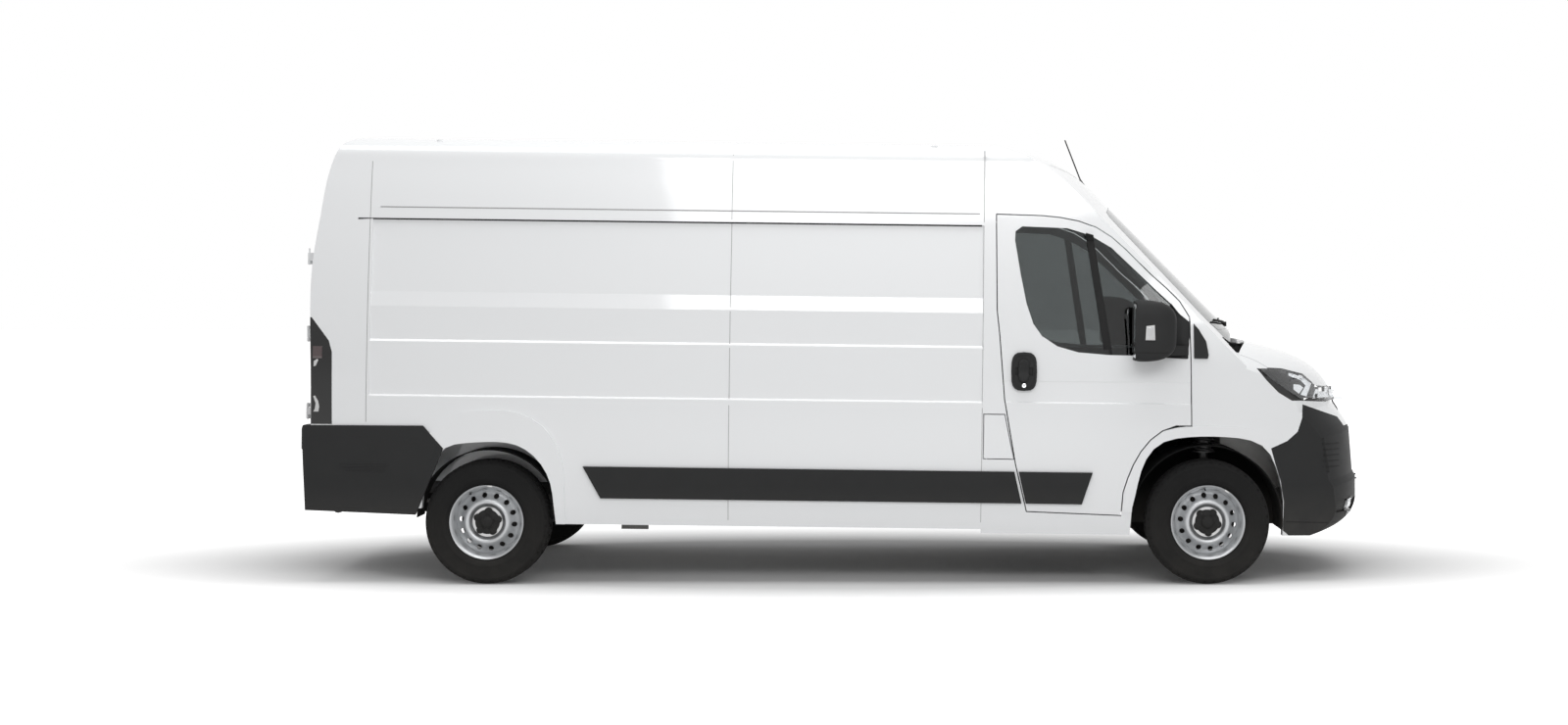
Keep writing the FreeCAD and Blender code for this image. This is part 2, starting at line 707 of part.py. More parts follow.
def fixed_front(body, skin, windscreen, scuttle):
    """Cab frame, roof cap, wings, bumper, grille, lamps and scuttle trim."""
    doorway = side_prism(DOOR_OUTLINE, 700.0, gap=SHUT_GAP)
    hinge_slot = box(1920, 1936 + HINGE_GAP, -1100, -700, 925, 1500)
    opening = doorway.fuse(hinge_slot)
    shell = skin.cut(both(opening))
    shell = shell.cut(windscreen).cut(screen_prism(-24.0))

    cap_zone = prism_y([(700, 2300), (1290, 2300), (HEADER_X, 2150), (1560, 2270),
                        (1560, 2700), (700, 2700)], -1100, 1100)
    wing_zone = prism_y([(1560, 100), (1560, 405), (1574, 535), (1618, 668), (1688, 793),
                         (1774, 876), (1952, 915), (1954, 1290), (2060, 1290),
                         (2060, 1600), (3200, 1600), (3200, 100)], -1100, 1100)
    roof_cap = biggest(shell.common(cap_zone))
    rest = shell.cut(cap_zone)
    cab = rest.cut(wing_zone)
    nose = rest.common(wing_zone).cut(scuttle_zone(2345.0 + SHUT_GAP, 2262.0))
    nose = nose.cut(bonnet_zone(SHUT_GAP).cut(scuttle_zone(2345.0, 1900.0)))
    nose = nose.cut(both(side_prism(FRONT_ARCH, 0.0)))

    lamp_zone = prism_y(LAMP_OUTLINE, -1100, -LAMP_INNER_Y)
    bumper_zone = prism_y(BUMPER_OUTLINE, -1100, 1100)
    grille_zone = box(2600, 3100, -LAMP_INNER_Y, LAMP_INNER_Y, *GRILLE_Z)
    lamp = biggest(nose.common(lamp_zone))
    grille = biggest(nose.common(grille_zone))
    tow_hole = box(2850, 3100, TOW_Y - TOW_HATCH, TOW_Y + TOW_HATCH,
                   TOW_Z - TOW_HATCH, TOW_Z + TOW_HATCH)
    bumper = biggest(nose.common(bumper_zone).cut([grille_zone, tow_hole]))
    wings = nose.cut(both(lamp_zone) + [grille_zone, bumper_zone])
    flare = front_sides(-WING_LIP_T).common(side_prism(FRONT_FLARE, 900.0))
    flare = flare.cut(front_sides(20.0)).cut(side_prism(FRONT_ARCH, 0.0)).cut(opening)
    flare = biggest(flare.cut(bumper_zone))
    wings = biggest(wings.fuse(both(flare)))
    for low, high in GRILLE_SLOTS:
        slot = box(2600, 3100, -LAMP_INNER_Y + 30, LAMP_INNER_Y - 30, low, high)
        grille = grille.cut(slot.cut(nose_solid(14.0)))
    intake = prism_x([(-430, 560), (430, 560), (470, 690), (-470, 690)], 2700, 3200)
    bumper = bumper.cut(intake.cut(nose_solid(BUMPER_POCKET)))
    corners = side_prism(BUMPER_RECESS, 0.0).cut(front_sides(BUMPER_RECESS_T))
    scoop = prism_y(BUMPER_SCOOP, -1100, -520).cut(nose_solid(BUMPER_POCKET)
                                                    .common(front_sides(BUMPER_POCKET)))
    bumper = biggest(bumper.cut(both(corners) + both(scoop)))
    trim = biggest(body.front.cut(body_inner(70.0)).common(scuttle).cut(windscreen))
    sail = front_sides(-SAIL_T).common(side_prism(SAIL_OUTLINE, 700.0)).cut(body.front)
    trim = Part.Compound([trim] + both(biggest(sail)))
    return {"roof_front": roof_cap, "cab_frame": cab, "headlamps": Part.Compound(both(lamp)),
            "grille": grille, "front_bumper": bumper, "front_wings": wings,
            "cowl_trim": trim}


def body_inner(t):
    return cab_solid(t).fuse(nose_solid(t)).common(front_sides(t))


def rear_body(body):
    wall = body.rear_wall(SIDE_T, DOOR_T)
    wall = wall.common(box(REAR_X - 60, B_SEAM_X, -1100, 1100, REAR_SKIRT_Z, 2600))
    roof = wall.common(box(REAR_SEAM_X, B_SEAM_X, -1100, 1100, ROOF_EDGE_Z, 2600))
    side = wall.common(box(REAR_SEAM_X, B_SEAM_X, -1100, 0, REAR_SKIRT_Z, ROOF_EDGE_Z))
    side = side.cut(pressing_cutter()).cut(side_prism(REAR_ARCH, 0.0))
    side = side.cut(box(REAR_SEAM_X - 1, BACK_X, -1100, 0, 0, SKIRT_END_Z))
    back = wall.common(box(REAR_X - 60, REAR_SEAM_X, -1100, 1100, REAR_SKIRT_Z, 2600))
    front = side.common(box(MID_SEAM_X, B_SEAM_X, -1100, 0, 0, 2600))
    rear = side.common(box(REAR_SEAM_X, MID_SEAM_X, -1100, 0, 0, 2600))
    return {"roof_rear": biggest(roof), "side_panel_right_front": biggest(front),
            "side_panel_right_rear": biggest(rear), "rear_frame": back}


def thin_sheet(body, outer_t, inner_t, zone):
    """Sheet that follows the front sides between two depths, inside a zone."""
    return body.front.common(zone).common(front_sides(outer_t)).cut(front_sides(inner_t))


def door_set(body):
    """Right front door: shell, glass, mirror and outer trim."""
    door = door_blanks(body)
    window = side_prism(WINDOW_OUTLINE, 700.0)
    glass = biggest(thin_sheet(body, 14.0, 19.0, window))
    proud = front_sides(-STRIP_T)
    strip_zone = side_prism(DOOR_STRIP_OUTLINE, 900.0)
    strip = biggest(proud.common(strip_zone).cut(front_sides()))
    return door, glass, Part.Compound([door_handle(proud), strip])


def door_handle(proud):
    """Oval plate on the door with a cupped pull."""
    x, z = HANDLE_CENTRE
    outline = []
    for i in range(20):
        turn = 2.0 * math.pi * i / 20
        c, s = math.cos(turn), math.sin(turn)
        outline.append((x + 72.0 * math.copysign(abs(c) ** 0.6, c),
                        z + 108.0 * math.copysign(abs(s) ** 0.6, s)))
    plate = proud.common(side_prism(outline, 900.0)).cut(front_sides())
    pull = box(x - 50, x + 50, -1120, -1000, z - 22, z + 22)
    cup = pull.cut(front_sides(-4.0))
    grip = box(x - 44, x + 44, -HALF_WIDTH - 22, -HALF_WIDTH - 4, z - 8, z + 8)
    return biggest(plate.cut(cup).fuse(grip.cut(front_sides(-3.0))))


def mirror_housing():
    """Right door mirror: rounded head, foot on the door frame, glass let into its back."""
    wires = []
    for x, grow in ((1640.0, 0.96), (1690.0, 1.0), (1760.0, 0.97), (1820.0, 0.86),
                    (1858.0, 0.66), (1872.0, 0.42)):
        points = []
        for i in range(24):
            turn = 2.0 * math.pi * i / 24
            c, s = math.cos(turn), math.sin(turn)
            y = MIRROR_Y - grow * MIRROR_HALF_W * math.copysign(abs(c) ** 0.55, c)
            z = MIRROR_Z + grow * MIRROR_HALF_H * math.copysign(abs(s) ** 0.55, s)
            points.append(Vector(x - 28.0, y, z))
        curve = Part.BSplineCurve()
        curve.interpolate(points, PeriodicFlag=True)
        wires.append(Part.Wire(curve.toShape()))
    head = Part.makeLoft(wires, True, False)
    pane_w = MIRROR_HALF_W - 14.0
    pane_h = MIRROR_HALF_H - 14.0
    recess = box(1600, 1620, MIRROR_Y - pane_w, MIRROR_Y + pane_w,
                 MIRROR_Z - pane_h, MIRROR_Z + pane_h)
    pane = box(1616, 1620, MIRROR_Y - pane_w, MIRROR_Y + pane_w,
               MIRROR_Z - pane_h, MIRROR_Z + pane_h)
    arm = prism_z([(1770, -1090), (1830, -1090), (1932, -1020), (1934, -975), (1905, -975),
                   (1780, -1050)], 1306, 1360)
    arm = arm.cut(front_sides())
    housing = biggest(head.cut(recess).fuse(arm))
    return Part.Compound([housing, pane])


def fuel_flap(body):
    zone = side_prism(FLAP_OUTLINE, 900.0)
    plate = body.front.common(zone).cut(front_sides(FLAP_T))
    knuckle = rod((FLAP_HINGE_X, FLAP_HINGE_Y, 765), (FLAP_HINGE_X, FLAP_HINGE_Y, 940), 6.0)
    bore = rod((FLAP_HINGE_X, FLAP_HINGE_Y, 700), (FLAP_HINGE_X, FLAP_HINGE_Y, 980),
               2.5 + PIN_FIT)
    return biggest(plate.fuse(knuckle).cut(bore))


def rear_door_hinges(door_side):
    """Hinge knuckles at the right rear corner: outer ones on the door, middle on the post."""
    parts = []
    x, y = REAR_HINGE_X, -REAR_HINGE_Y
    for z in REAR_HINGE_ZS:
        surface = -2975.0
        if door_side:
            for low in (z - 44, z + 22):
                barrel = rod((x, y, low), (x, y, low + 22), 9.0)
                plate = box(x - 6, x + 6, y, y + 36, low, low + 22)
                strap = box(x - 6, surface, -REAR_DOOR_HALF + 2, y + 36, low, low + 22)
                parts.append(barrel.fuse([plate, strap]))
        else:
            barrel = rod((x, y, z - 21), (x, y, z + 21), 9.0)
            arm = box(x - 6, surface, y - 9, y + 3, z - 21, z + 21)
            pin = rod((x, y, z - 46), (x, y, z + 46), 4.0)
            parts.append(barrel.fuse([arm, pin]))
    return parts


def rear_door_bores():
    x, y = REAR_HINGE_X, -REAR_HINGE_Y
    return [rod((x, y, z - 60), (x, y, z + 60), 4.0 + PIN_FIT) for z in REAR_HINGE_ZS]


def tyre(y):
    """Road tyre turned about its axle line, with rounded shoulders and bead seats."""
    half = TYRE_W / 2.0
    tread = TYRE_W * 0.39
    profile = [(RIM_R + 2, -84), (RIM_FLANGE_R + 2, -99), (260, -half), (300, -half + 3),
               (332, -tread - 6), (TYRE_R - 4, -tread + 8), (TYRE_R, -tread + 26),
               (TYRE_R, tread - 26), (TYRE_R - 4, tread - 8), (332, tread + 6),
               (300, half - 3), (260, half), (RIM_FLANGE_R + 2, 99), (RIM_R + 2, 84)]
    return revolve_y(profile, 0.0, y, 0.0)


def rim(y, holes):
    """Pressed steel wheel, outer face towards -Y: barrel, dished disc, hub and cap."""
    barrel = [(RIM_FLANGE_R, 100), (RIM_R + 1, 84), (RIM_R - 6, 40), (172, 24), (172, -6),
              (RIM_R - 6, -30), (RIM_R + 1, -84), (RIM_FLANGE_R, -100),
              (RIM_FLANGE_R - 7, -96), (RIM_R - 5, -78), (RIM_R - 13, -30), (165, -8),
              (165, 26), (RIM_R - 13, 44), (RIM_R - 5, 78), (RIM_FLANGE_R - 7, 96)]
    bore = AXLE_R + AXLE_FIT
    disc = [(bore, -62), (86, -62), (104, -76), (118, -78), (128, -66), (150, -46),
            (178, -34), (178, -24), (148, -36), (122, -54), (112, -66), (100, -64),
            (84, -50), (62, -44), (62, 34), (bore, 34)]
    wheel = revolve_y(barrel, 0.0, y, 0.0).fuse(revolve_y(disc, 0.0, y, 0.0))
    cutters = []
    for i in range(holes):
        turn = 2.0 * math.pi * i / holes
        x = 150.0 * math.cos(turn)
        z = 150.0 * math.sin(turn)
        cutters.append(rod((x, y - 90, z), (x, y - 10, z), 15.0))
    wheel = wheel.cut(cutters)
    return biggest(wheel.fuse(hub_cap(y)))


def hub_cap(y):
    """Domed cap with five lobes over the wheel bolts, and a round middle boss."""
    cap = rod((0, y - 61, 0), (0, y - 74, 0), 52.0)
    lobes = []
    for i in range(5):
        turn = 2.0 * math.pi * i / 5 + math.pi / 2
        x = 58.0 * math.cos(turn)
        z = 58.0 * math.sin(turn)
        lobes.append(rod((x, y - 61, z), (x, y - 78, z), 21.0))
    boss = rod((0, y - 61, 0), (0, y - 92, 0), 36.0)
    return cap.fuse(lobes + [boss]).cut(rod((0, y - 50, 0), (0, y - 62, 0), 40.0))


def at_axle(shape, x, z):
    moved = shape.copy()
    moved.translate(Vector(x, 0, z))
    return moved


def brake_disc(y):
    """Vented brake disc bolted to the hub's inner end."""
    inner = AXLE_R + AXLE_FIT
    near, far = BRAKE_S
    return revolve_y([(inner, near - 6), (78, near - 6), (78, near), (BRAKE_R, near),
                      (BRAKE_R, far), (72, far), (72, near + 4), (inner, near + 4)],
                     0.0, y, 0.0)


def knuckle():
    """Right front upright with its stub axle, steering arm and brake calliper."""
    y = -TRACK_FRONT / 2.0
    stub = rod((0, y + 118, 0), (0, y - 40, 0), AXLE_R)
    carrier = rod((0, y + 82, 0), (0, y + 118, 0), 62.0)
    upright = box(-32, 32, y + 92, y + 124, FOOT_Z, STRUT_FOOT)
    foot = box(-24, 24, -KINGPIN_Y - 18, y + 124, FOOT_Z, FOOT_Z + 12)
    clamp = box(-30, 30, -STRUT_Y - 30, -STRUT_Y + 30, STRUT_FOOT - 18, STRUT_FOOT)
    web = box(-32, 32, y + 92, -STRUT_Y, STRUT_FOOT - 18, STRUT_FOOT)
    lever = prism_z([(-20, y + 100), (-20, y + 124), (-128, y + 150), (-128, y + 128)],
                    -70, -48)
    saddle = box(-148, -96, y + 22, y + 84, -52, 52)
    saddle = saddle.cut(rod((0, y + BRAKE_S[0] - 6, 0), (0, y + BRAKE_S[1] + 6, 0),
                            BRAKE_R + 6.0))
    bridge = box(-112, -20, y + 84, y + 100, -40, 40)
    whole = stub.fuse([carrier, upright, foot, clamp, web, lever, saddle, bridge])
    return biggest(whole)


def front_suspension():
    """Subframe with both lower arms, steering rack and drive shafts."""
    cradle = box(-150, 150, -430, 430, -150, -80)
    cradle = cradle.cut(box(-80, 80, -300, 300, -160, -60))
    arms = []
    for side in (-1, 1):
        arm = prism_z([(-130, side * 425), (130, side * 425), (24, side * 700),
                       (18, side * (KINGPIN_Y + 14)), (-18, side * (KINGPIN_Y + 14)),
                       (-24, side * 700)], -160, -144)
        joint = rod((0, side * KINGPIN_Y, -160), (0, side * KINGPIN_Y, FOOT_Z - SEAT), 14.0)
        arms.append(arm.fuse(joint))
    legs = [box(-140, 140, side * FRONT_RAIL_Y - 38, side * FRONT_RAIL_Y + 38, -150,
                RAIL_Z - FRONT_Z) for side in (-1, 1)]
    rack = rod((-150, -520, -60), (-150, 520, -60), 26.0)
    rack_feet = [box(-176, -124, side * 380 - 20, side * 380 + 20, -86, -60)
                 for side in (-1, 1)]
    whole = cradle.fuse(arms + legs + [rack] + rack_feet)
    rods = [rod((-150, side * 520, -60), (-141, side * 650, -60), 9.0) for side in (-1, 1)]
    return biggest(whole.fuse(rods))


def drive_shafts():
    shafts = []
    for side in (-1, 1):
        shaft = rod((0, side * SHAFT_INNER_Y, 0), (0, side * 745, 0), 15.0)
        inner_boot = Part.makeCone(46.0, 24.0, 70.0, Vector(0, side * 330, 0),
                                   Vector(0, side, 0))
        outer_boot = Part.makeCone(22.0, 42.0, 60.0, Vector(0, side * 700, 0),
                                   Vector(0, side, 0))
        flange = rod((0, side * SHAFT_INNER_Y, 0), (0, side * 330, 0), 50.0)
        shafts.append(shaft.fuse([inner_boot, outer_boot, flange]))
    return shafts


def struts():
    """Front struts: damper tube, coil spring shown as stacked rings, and top mount."""
    parts = []
    for side in (-1, 1):
        y = side * STRUT_Y
        tube = rod((0, y, STRUT_FOOT + SEAT), (0, y, 470), 27.0)
        rod_up = rod((0, y, 470), (0, y, STRUT_TOP), 11.0)
        seat = rod((0, y, 376), (0, y, 384), 66.0)
        rings = []
        for i in range(5):
            ring = Part.makeTorus(52.0, 8.0, Vector(0, y, 392 + 30 * i), Vector(0.12, 0, 1))
            rings.append(ring)
        spine = rod((0, y, 384), (0, y, 520), 44.5)
        top = rod((0, y, 520), (0, y, STRUT_TOP), 62.0)
        parts.append(tube.fuse([rod_up, seat, spine, top] + rings))
    return parts


def rear_axle():
    half = TRACK_REAR / 2.0
    beam = rod((0, -half + 42, 0), (0, half - 42, 0), 38.0)
    parts = []
    for side in (-1, 1):
        parts.append(rod((0, side * (half - 60), 0), (0, side * (half + 40), 0), AXLE_R))
        parts.append(rod((0, side * (half - 118), 0), (0, side * (half - 78), 0), 128.0))
        parts.append(box(-70, 70, side * SPRING_Y - 40, side * SPRING_Y + 40, 30, 46))
    return biggest(beam.fuse(parts))


def leaf_springs():
    """Single tapered leaf each side, with eyes, a front hanger and a rear shackle."""
    springs = []
    for side in (-1, 1):
        y = side * SPRING_Y
        low = [(-690, 108), (-350, 66), (-80, 46), (80, 46), (350, 66), (650, 108)]
        high = [(650, 124), (350, 84), (80, 66), (-80, 66), (-350, 84), (-690, 124)]
        leaf = prism_y(low + high, y - 35, y + 35)
        front_eye = rod((650, y - 35, 116), (650, y + 35, 116), 24.0)
        rear_eye = rod((-690, y - 35, 116), (-690, y + 35, 116), 24.0)
        top = RAIL_TOP - BACK_Z
        hanger = prism_y([(620, 116), (680, 116), (720, top), (580, top)], y - 38, y + 38)
        shackle = prism_y([(-712, 116), (-668, 116), (-650, top), (-690, top)],
                          y - 38, y + 38)
        springs.append(leaf.fuse([front_eye, rear_eye, hanger, shackle]))
    return springs


RAIL_TOP = FLOOR_TOP - FLOOR_T
RAIL_Z = 440.0


def chassis_frame():
    """Load-bearing rails and crossmembers under the floor, jacking brackets, tow sockets."""
    members = []
    for side in (-1, 1):
        y = side * RAIL_Y
        members.append(box(-2900, 1560, y - RAIL_HALF_W, y + RAIL_HALF_W,
                           RAIL_Z, RAIL_TOP))
        inner, outer = -RAIL_HALF_W, RAIL_HALF_W
        front_y = side * FRONT_RAIL_Y
        bend = prism_z([(1500, y + inner), (1500, y + outer), (1700, front_y + outer),
                        (2760, front_y + outer), (2760, front_y + inner),
                        (1700, front_y + inner)], RAIL_Z, RAIL_TOP)
        members.append(bend)
        for x in OUTRIGGER_XS:
            inner_y, outer_y = sorted((side * RAIL_Y, side * OUTRIGGER_Y))
            members.append(box(x - 30, x + 30, inner_y, outer_y, RAIL_Z + 20, RAIL_TOP))
        jack_inner, jack_outer = sorted((side * 882, side * 912))
        jack = box(JACK_X - 75, JACK_X + 75, jack_inner, jack_outer, JACK_BOTTOM, RAIL_TOP)
        jack = jack.cut(rod((JACK_X, side * 860, JACK_BOTTOM + 32),
                            (JACK_X, side * 930, JACK_BOTTOM + 32), 11.0))
        members.append(jack)
    for x in CROSS_XS:
        members.append(box(x - 35, x + 35, -RAIL_Y, RAIL_Y, RAIL_Z + 10, RAIL_TOP))
    members.append(box(2700, 2764, -600, 600, 400, RAIL_TOP))
    whole = members[0].fuse(members[1:])
    socket = rod((2700, TOW_Y, TOW_Z), (2800, TOW_Y, TOW_Z), 22.0)
    whole = whole.fuse(socket).cut(rod((2720, TOW_Y, TOW_Z), (2801, TOW_Y, TOW_Z), 8.0))
    near, far = -RAIL_Y - 10, -RAIL_Y + 10
    eye = box(-2962, -2890, near, far, TOW_EYE_Z, RAIL_TOP)
    eye = eye.fuse(rod((TOW_EYE_X, near, TOW_EYE_Z), (TOW_EYE_X, far, TOW_EYE_Z), 36.0))
    eye = eye.cut(rod((TOW_EYE_X, near - 9, TOW_EYE_Z), (TOW_EYE_X, far + 9, TOW_EYE_Z),
                      TOW_EYE_R))
    return biggest(whole.fuse(eye).removeSplitter())


def load_floor():
    """Load floor with a boxed arch over each rear wheel."""
    inside = rear_sides(SIDE_T, x1=BULKHEAD_X)
    reach = LINER_REAR_R + 8.0
    outer = box(BACK_X - reach - 20, BACK_X + reach + 20, -1100, -REAR_BOX_Y,
                RAIL_TOP, REAR_BOX_TOP + 22)
    cavity = box(BACK_X - reach, BACK_X + reach, -1100, -REAR_BOX_Y - 22, 0, REAR_BOX_TOP)
    slab = box(FLOOR_REAR_X, BULKHEAD_X, -1100, 1100, RAIL_TOP, FLOOR_TOP)
    floor = slab.fuse(both(outer)).cut(both(cavity)).common(inside)
    return biggest(floor.removeSplitter())


def cab_floor():
    """Cab floor, toe board and scuttle wall, one bent sheet between the wheelhouses."""
    low = [(BULKHEAD_X, RAIL_TOP), (1730, RAIL_TOP), (1930, 620), (2100, 860), (2130, 1290)]
    high = [(2104, 1290), (2074, 870), (1912, 646), (1722, FLOOR_TOP),
            (BULKHEAD_X, FLOOR_TOP)]
    middle = prism_y(low + high, -WHEELHOUSE_Y + SEAT, WHEELHOUSE_Y - SEAT)
    wide = box(BULKHEAD_X, 1540, -1100, 1100, RAIL_TOP, FLOOR_TOP)
    wide = wide.common(front_sides(DOOR_T + 14).fuse(rear_sides(SIDE_T, x0=0)))
    scuttle = prism_y([(2104, 1290), (2130, 1290), (2128, 880), (2102, 880)],
                      -SCUTTLE_HALF, SCUTTLE_HALF)
    tower = box(2080, 2150, -SCUTTLE_HALF - 1, -STRUT_Y + 92, 870,
                FRONT_Z + STRUT_TOP + 14 + SEAT)
    scuttle = scuttle.cut(both(tower))
    sill = box(B_SEAM_X, 1560, -912, -880, SILL_BOTTOM, RAIL_TOP)
    sill = sill.fuse(box(B_SEAM_X, 1560, -1100, -900, SILL_BOTTOM, 398))
    sill = sill.common(front_sides(DOOR_T))
    return middle.fuse([wide, scuttle] + both(sill) + hood_lugs(False))


def dashboard():
    profile = [(2098, 1010), (2098, 1300), (2010, 1322), (1850, 1290), (1780, 1240),
               (1760, 1170), (1800, 1090), (1880, 1020)]
    top = prism_y(profile, -DASH_HALF, DASH_HALF)
    console = prism_y([(1790, 1150), (1800, 800), (1900, 640), (2060, 880), (2090, 1100)],
                      -150, 150)
    binnacle = prism_y([(1770, 1240), (1800, 1312), (1900, 1330), (1990, 1322),
                        (1850, 1260)], DRIVER_Y - 170, DRIVER_Y + 170)
    return biggest(top.fuse([console, binnacle]))


def seat(y, half):
    """One seat on its box: base, cushion, raked back and head restraint."""
    base = box(860, 1290, y - half + 20, y + half - 20, FLOOR_TOP, 800)
    cushion = prism_y([(850, 800), (1360, 800), (1375, 850), (1340, 905), (860, 880)],
                      y - half, y + half)
    back = prism_y([(850, 830), (980, 870), (880, 1460), (800, 1500), (745, 1470),
                    (740, 1400)], y - half, y + half)
    heads = []
    count = 2 if half > 300 else 1
    for i in range(count):
        middle = y + (i - (count - 1) / 2.0) * half
        heads.append(prism_y([(770, 1510), (850, 1500), (838, 1680), (800, 1700),
                              (755, 1670)], middle - 125, middle + 125))
        heads.append(rod((812, middle, 1470), (808, middle, 1560), 9.0))
    return biggest(base.fuse([cushion, back] + heads))


def steering_wheel():
    centre = Vector(*WHEEL_CENTRE)
    axis = Vector(*WHEEL_AXIS)
    ring = Part.makeTorus(190.0, 16.0, Vector(0, 0, 0), Vector(0, 0, 1))
    hub = Part.makeCylinder(58.0, 40.0, Vector(0, 0, -46))
    spokes = []
    for turn in (0, 120, 240):
        bar = Part.makeBox(140.0, 30.0, 14.0, Vector(45.0, -15.0, -22.0))
        bar.rotate(Vector(0, 0, 0), Vector(0, 0, 1), turn + 90)
        spokes.append(bar)
    shaft = Part.makeCylinder(17.0, 120.0, Vector(0, 0, -150))
    whole = ring.fuse(spokes + [hub, shaft])
    whole.Placement = FreeCAD.Placement(centre, FreeCAD.Rotation(Vector(0, 0, 1), axis))
    return whole


def steering_column():
    """Shroud round the column, with the shaft's bearing, joined to the dashboard."""
    centre = Vector(*WHEEL_CENTRE)
    axis = Vector(*WHEEL_AXIS)
    tube = Part.makeCylinder(44.0, 270.0, Vector(0, 0, -360))
    tube = tube.cut(Part.makeCylinder(17.0 + PIN_FIT, 80.0, Vector(0, 0, -158)))
    tube.Placement = FreeCAD.Placement(centre, FreeCAD.Rotation(Vector(0, 0, 1), axis))
    return tube


def arch_liner_front():
    """Right front wheelhouse liner: curved roof with a strut hole, and an inner wall."""
    y0, y1 = -950.0, -WHEELHOUSE_Y
    ring = rod((FRONT_X, y0, FRONT_Z), (FRONT_X, y1, FRONT_Z), LINER_FRONT_R)
    ring = ring.cut(rod((FRONT_X, y0 - 1, FRONT_Z), (FRONT_X, y1 - 5, FRONT_Z),
                        LINER_FRONT_R - 5.0))
    ring = ring.common(box(1500, 2650, -1100, 0, 330, 900))
    ring = ring.cut(box(FRONT_X - 240, FRONT_X + 240, -700, -500, 150, 560))
    ring = ring.cut(rod((FRONT_X, -STRUT_Y, 600), (FRONT_X, -STRUT_Y, 1000), 74.0))
    return biggest(ring)


def arch_liner_rear():
    y0, y1 = -932.0, -REAR_BOX_Y - 22 - SEAT
    ring = rod((BACK_X, y0, BACK_Z), (BACK_X, y1, BACK_Z), LINER_REAR_R)
    ring = ring.cut(rod((BACK_X, y0 - 1, BACK_Z), (BACK_X, y1 + 1, BACK_Z),
                        LINER_REAR_R - 5.0))
    return biggest(ring.common(box(-2500, -1500, -1100, 0, 340, 900)))


def spare_wheel():
    """Spare wheel slung flat under the floor behind the axle, with its hanger."""
    half = TYRE_W / 2.0
    ring = tyre(0.0)
    plate = revolve_y([(0.1, -20), (RIM_R + 4, -20), (RIM_R + 4, -84), (RIM_R - 6, -84),
                       (RIM_R - 6, -30), (0.1, -30)], 0.0, 0.0, 0.0)
    wheel = ring.fuse(plate)
    wheel.rotate(Vector(0, 0, 0), Vector(1, 0, 0), 90)
    wheel.translate(Vector(SPARE_X, 0, RAIL_TOP - half - SEAT))
    return wheel


def fuel_tank():
    block = box(-420, 420, -RAIL_Y + RAIL_HALF_W + SEAT, -20, 300, RAIL_TOP - SEAT)
    edges = [edge for edge in block.Edges if abs(edge.Vertexes[0].Z - edge.Vertexes[-1].Z) < 1
             and edge.Vertexes[0].Z < 310]
    return block.makeFillet(40.0, edges)


def exhaust():
    """Pipe from the engine to a silencer ahead of the rear axle, and its tail."""
    pipe = rod((1960, 250, 384), (1500, 330, 340), 28.0)
    pipe = pipe.fuse(rod((1990 - SEAT, 250, 384), (1950, 250, 384), 28.0))
    middle = rod((1500, 330, 340), (-700, 330, 340), 28.0)
    box_shape = rod((-1250, 330, 350), (-700, 330, 350), 92.0)
    hangers = [box(x - 10, x + 10, 320, 340, 350, RAIL_TOP - SEAT) for x in (600, -660)]
    tail = rod((-1250, 330, 380), (-1560, 420, 390), 26.0)
    return biggest(pipe.fuse([middle, box_shape, tail] + hangers))


def engine_block():
    """Engine and gearbox as one plain block, carried between the front rails."""
    half = FRONT_RAIL_Y - RAIL_HALF_W - SEAT
    engine = box(2190, 2600, -half, half, RAIL_Z, 1020)
    gearbox = box(1990, 2200, -SHAFT_INNER_Y + SEAT, SHAFT_INNER_Y - SEAT, 305, RAIL_Z + 60)
    return engine.fuse(gearbox)


def antenna(body):
    """Roof aerial with its foot seated on the cab roof."""
    foot = Part.makeCone(26.0, 8.0, 62.0, Vector(1405, 0, 2262), Vector(-0.35, 0, 0.94))
    mast = rod((1392, 0, 2306), (1290, 0, 2560), 4.0)
    return biggest(foot.cut(body.front).fuse(mast))


def rack_plinths(grow=0.0):
    """Roof-rack fixing bosses, let into the roof; grown a little they cut their own seats."""
    parts = []
    for side in (-1, 1):
        for x in RACK_XS:
            foot = Vector(x, side * RACK_Y, RACK_TOP_Z - RACK_BOSS_H - grow)
            boss = Part.makeCylinder(RACK_BOSS_R + grow, RACK_BOSS_H + grow, foot)
            hole = Part.makeCylinder(4.0, 60.0, Vector(x, side * RACK_Y, RACK_TOP_Z - 28.0))
            parts.append(boss if grow else boss.cut(hole))
    return parts


def rear_doors(back):
    """Right rear door leaf cut from the tail, with its hinge straps."""
    zone = box(REAR_X - 80, REAR_SEAM_X, -REAR_DOOR_HALF, -REAR_DOOR_MIDDLE,
               REAR_DOOR_Z[0], REAR_DOOR_Z[1])
    leaf = biggest(back.common(zone))
    for low, high in REAR_PANELS:
        panel = box(REAR_X - 80, REAR_X + 120, -REAR_PANEL_Y[1], -REAR_PANEL_Y[0], low, high)
        leaf = leaf.cut(panel.cut(rear_solid(REAR_PANEL_DEPTH)))
    whole = leaf.fuse(rear_door_hinges(True)).cut(rear_door_bores())
    return biggest(whole)


def rear_door_handle(body):
    """Pull plate on the right rear leaf."""
    shell = rear_sides(-2.0).common(rear_solid(-12.0)).cut(body.rear)
    zone = box(REAR_X - 80, REAR_X + 200, -170, -70, 1010, 1150)
    return biggest(shell.common(zone))


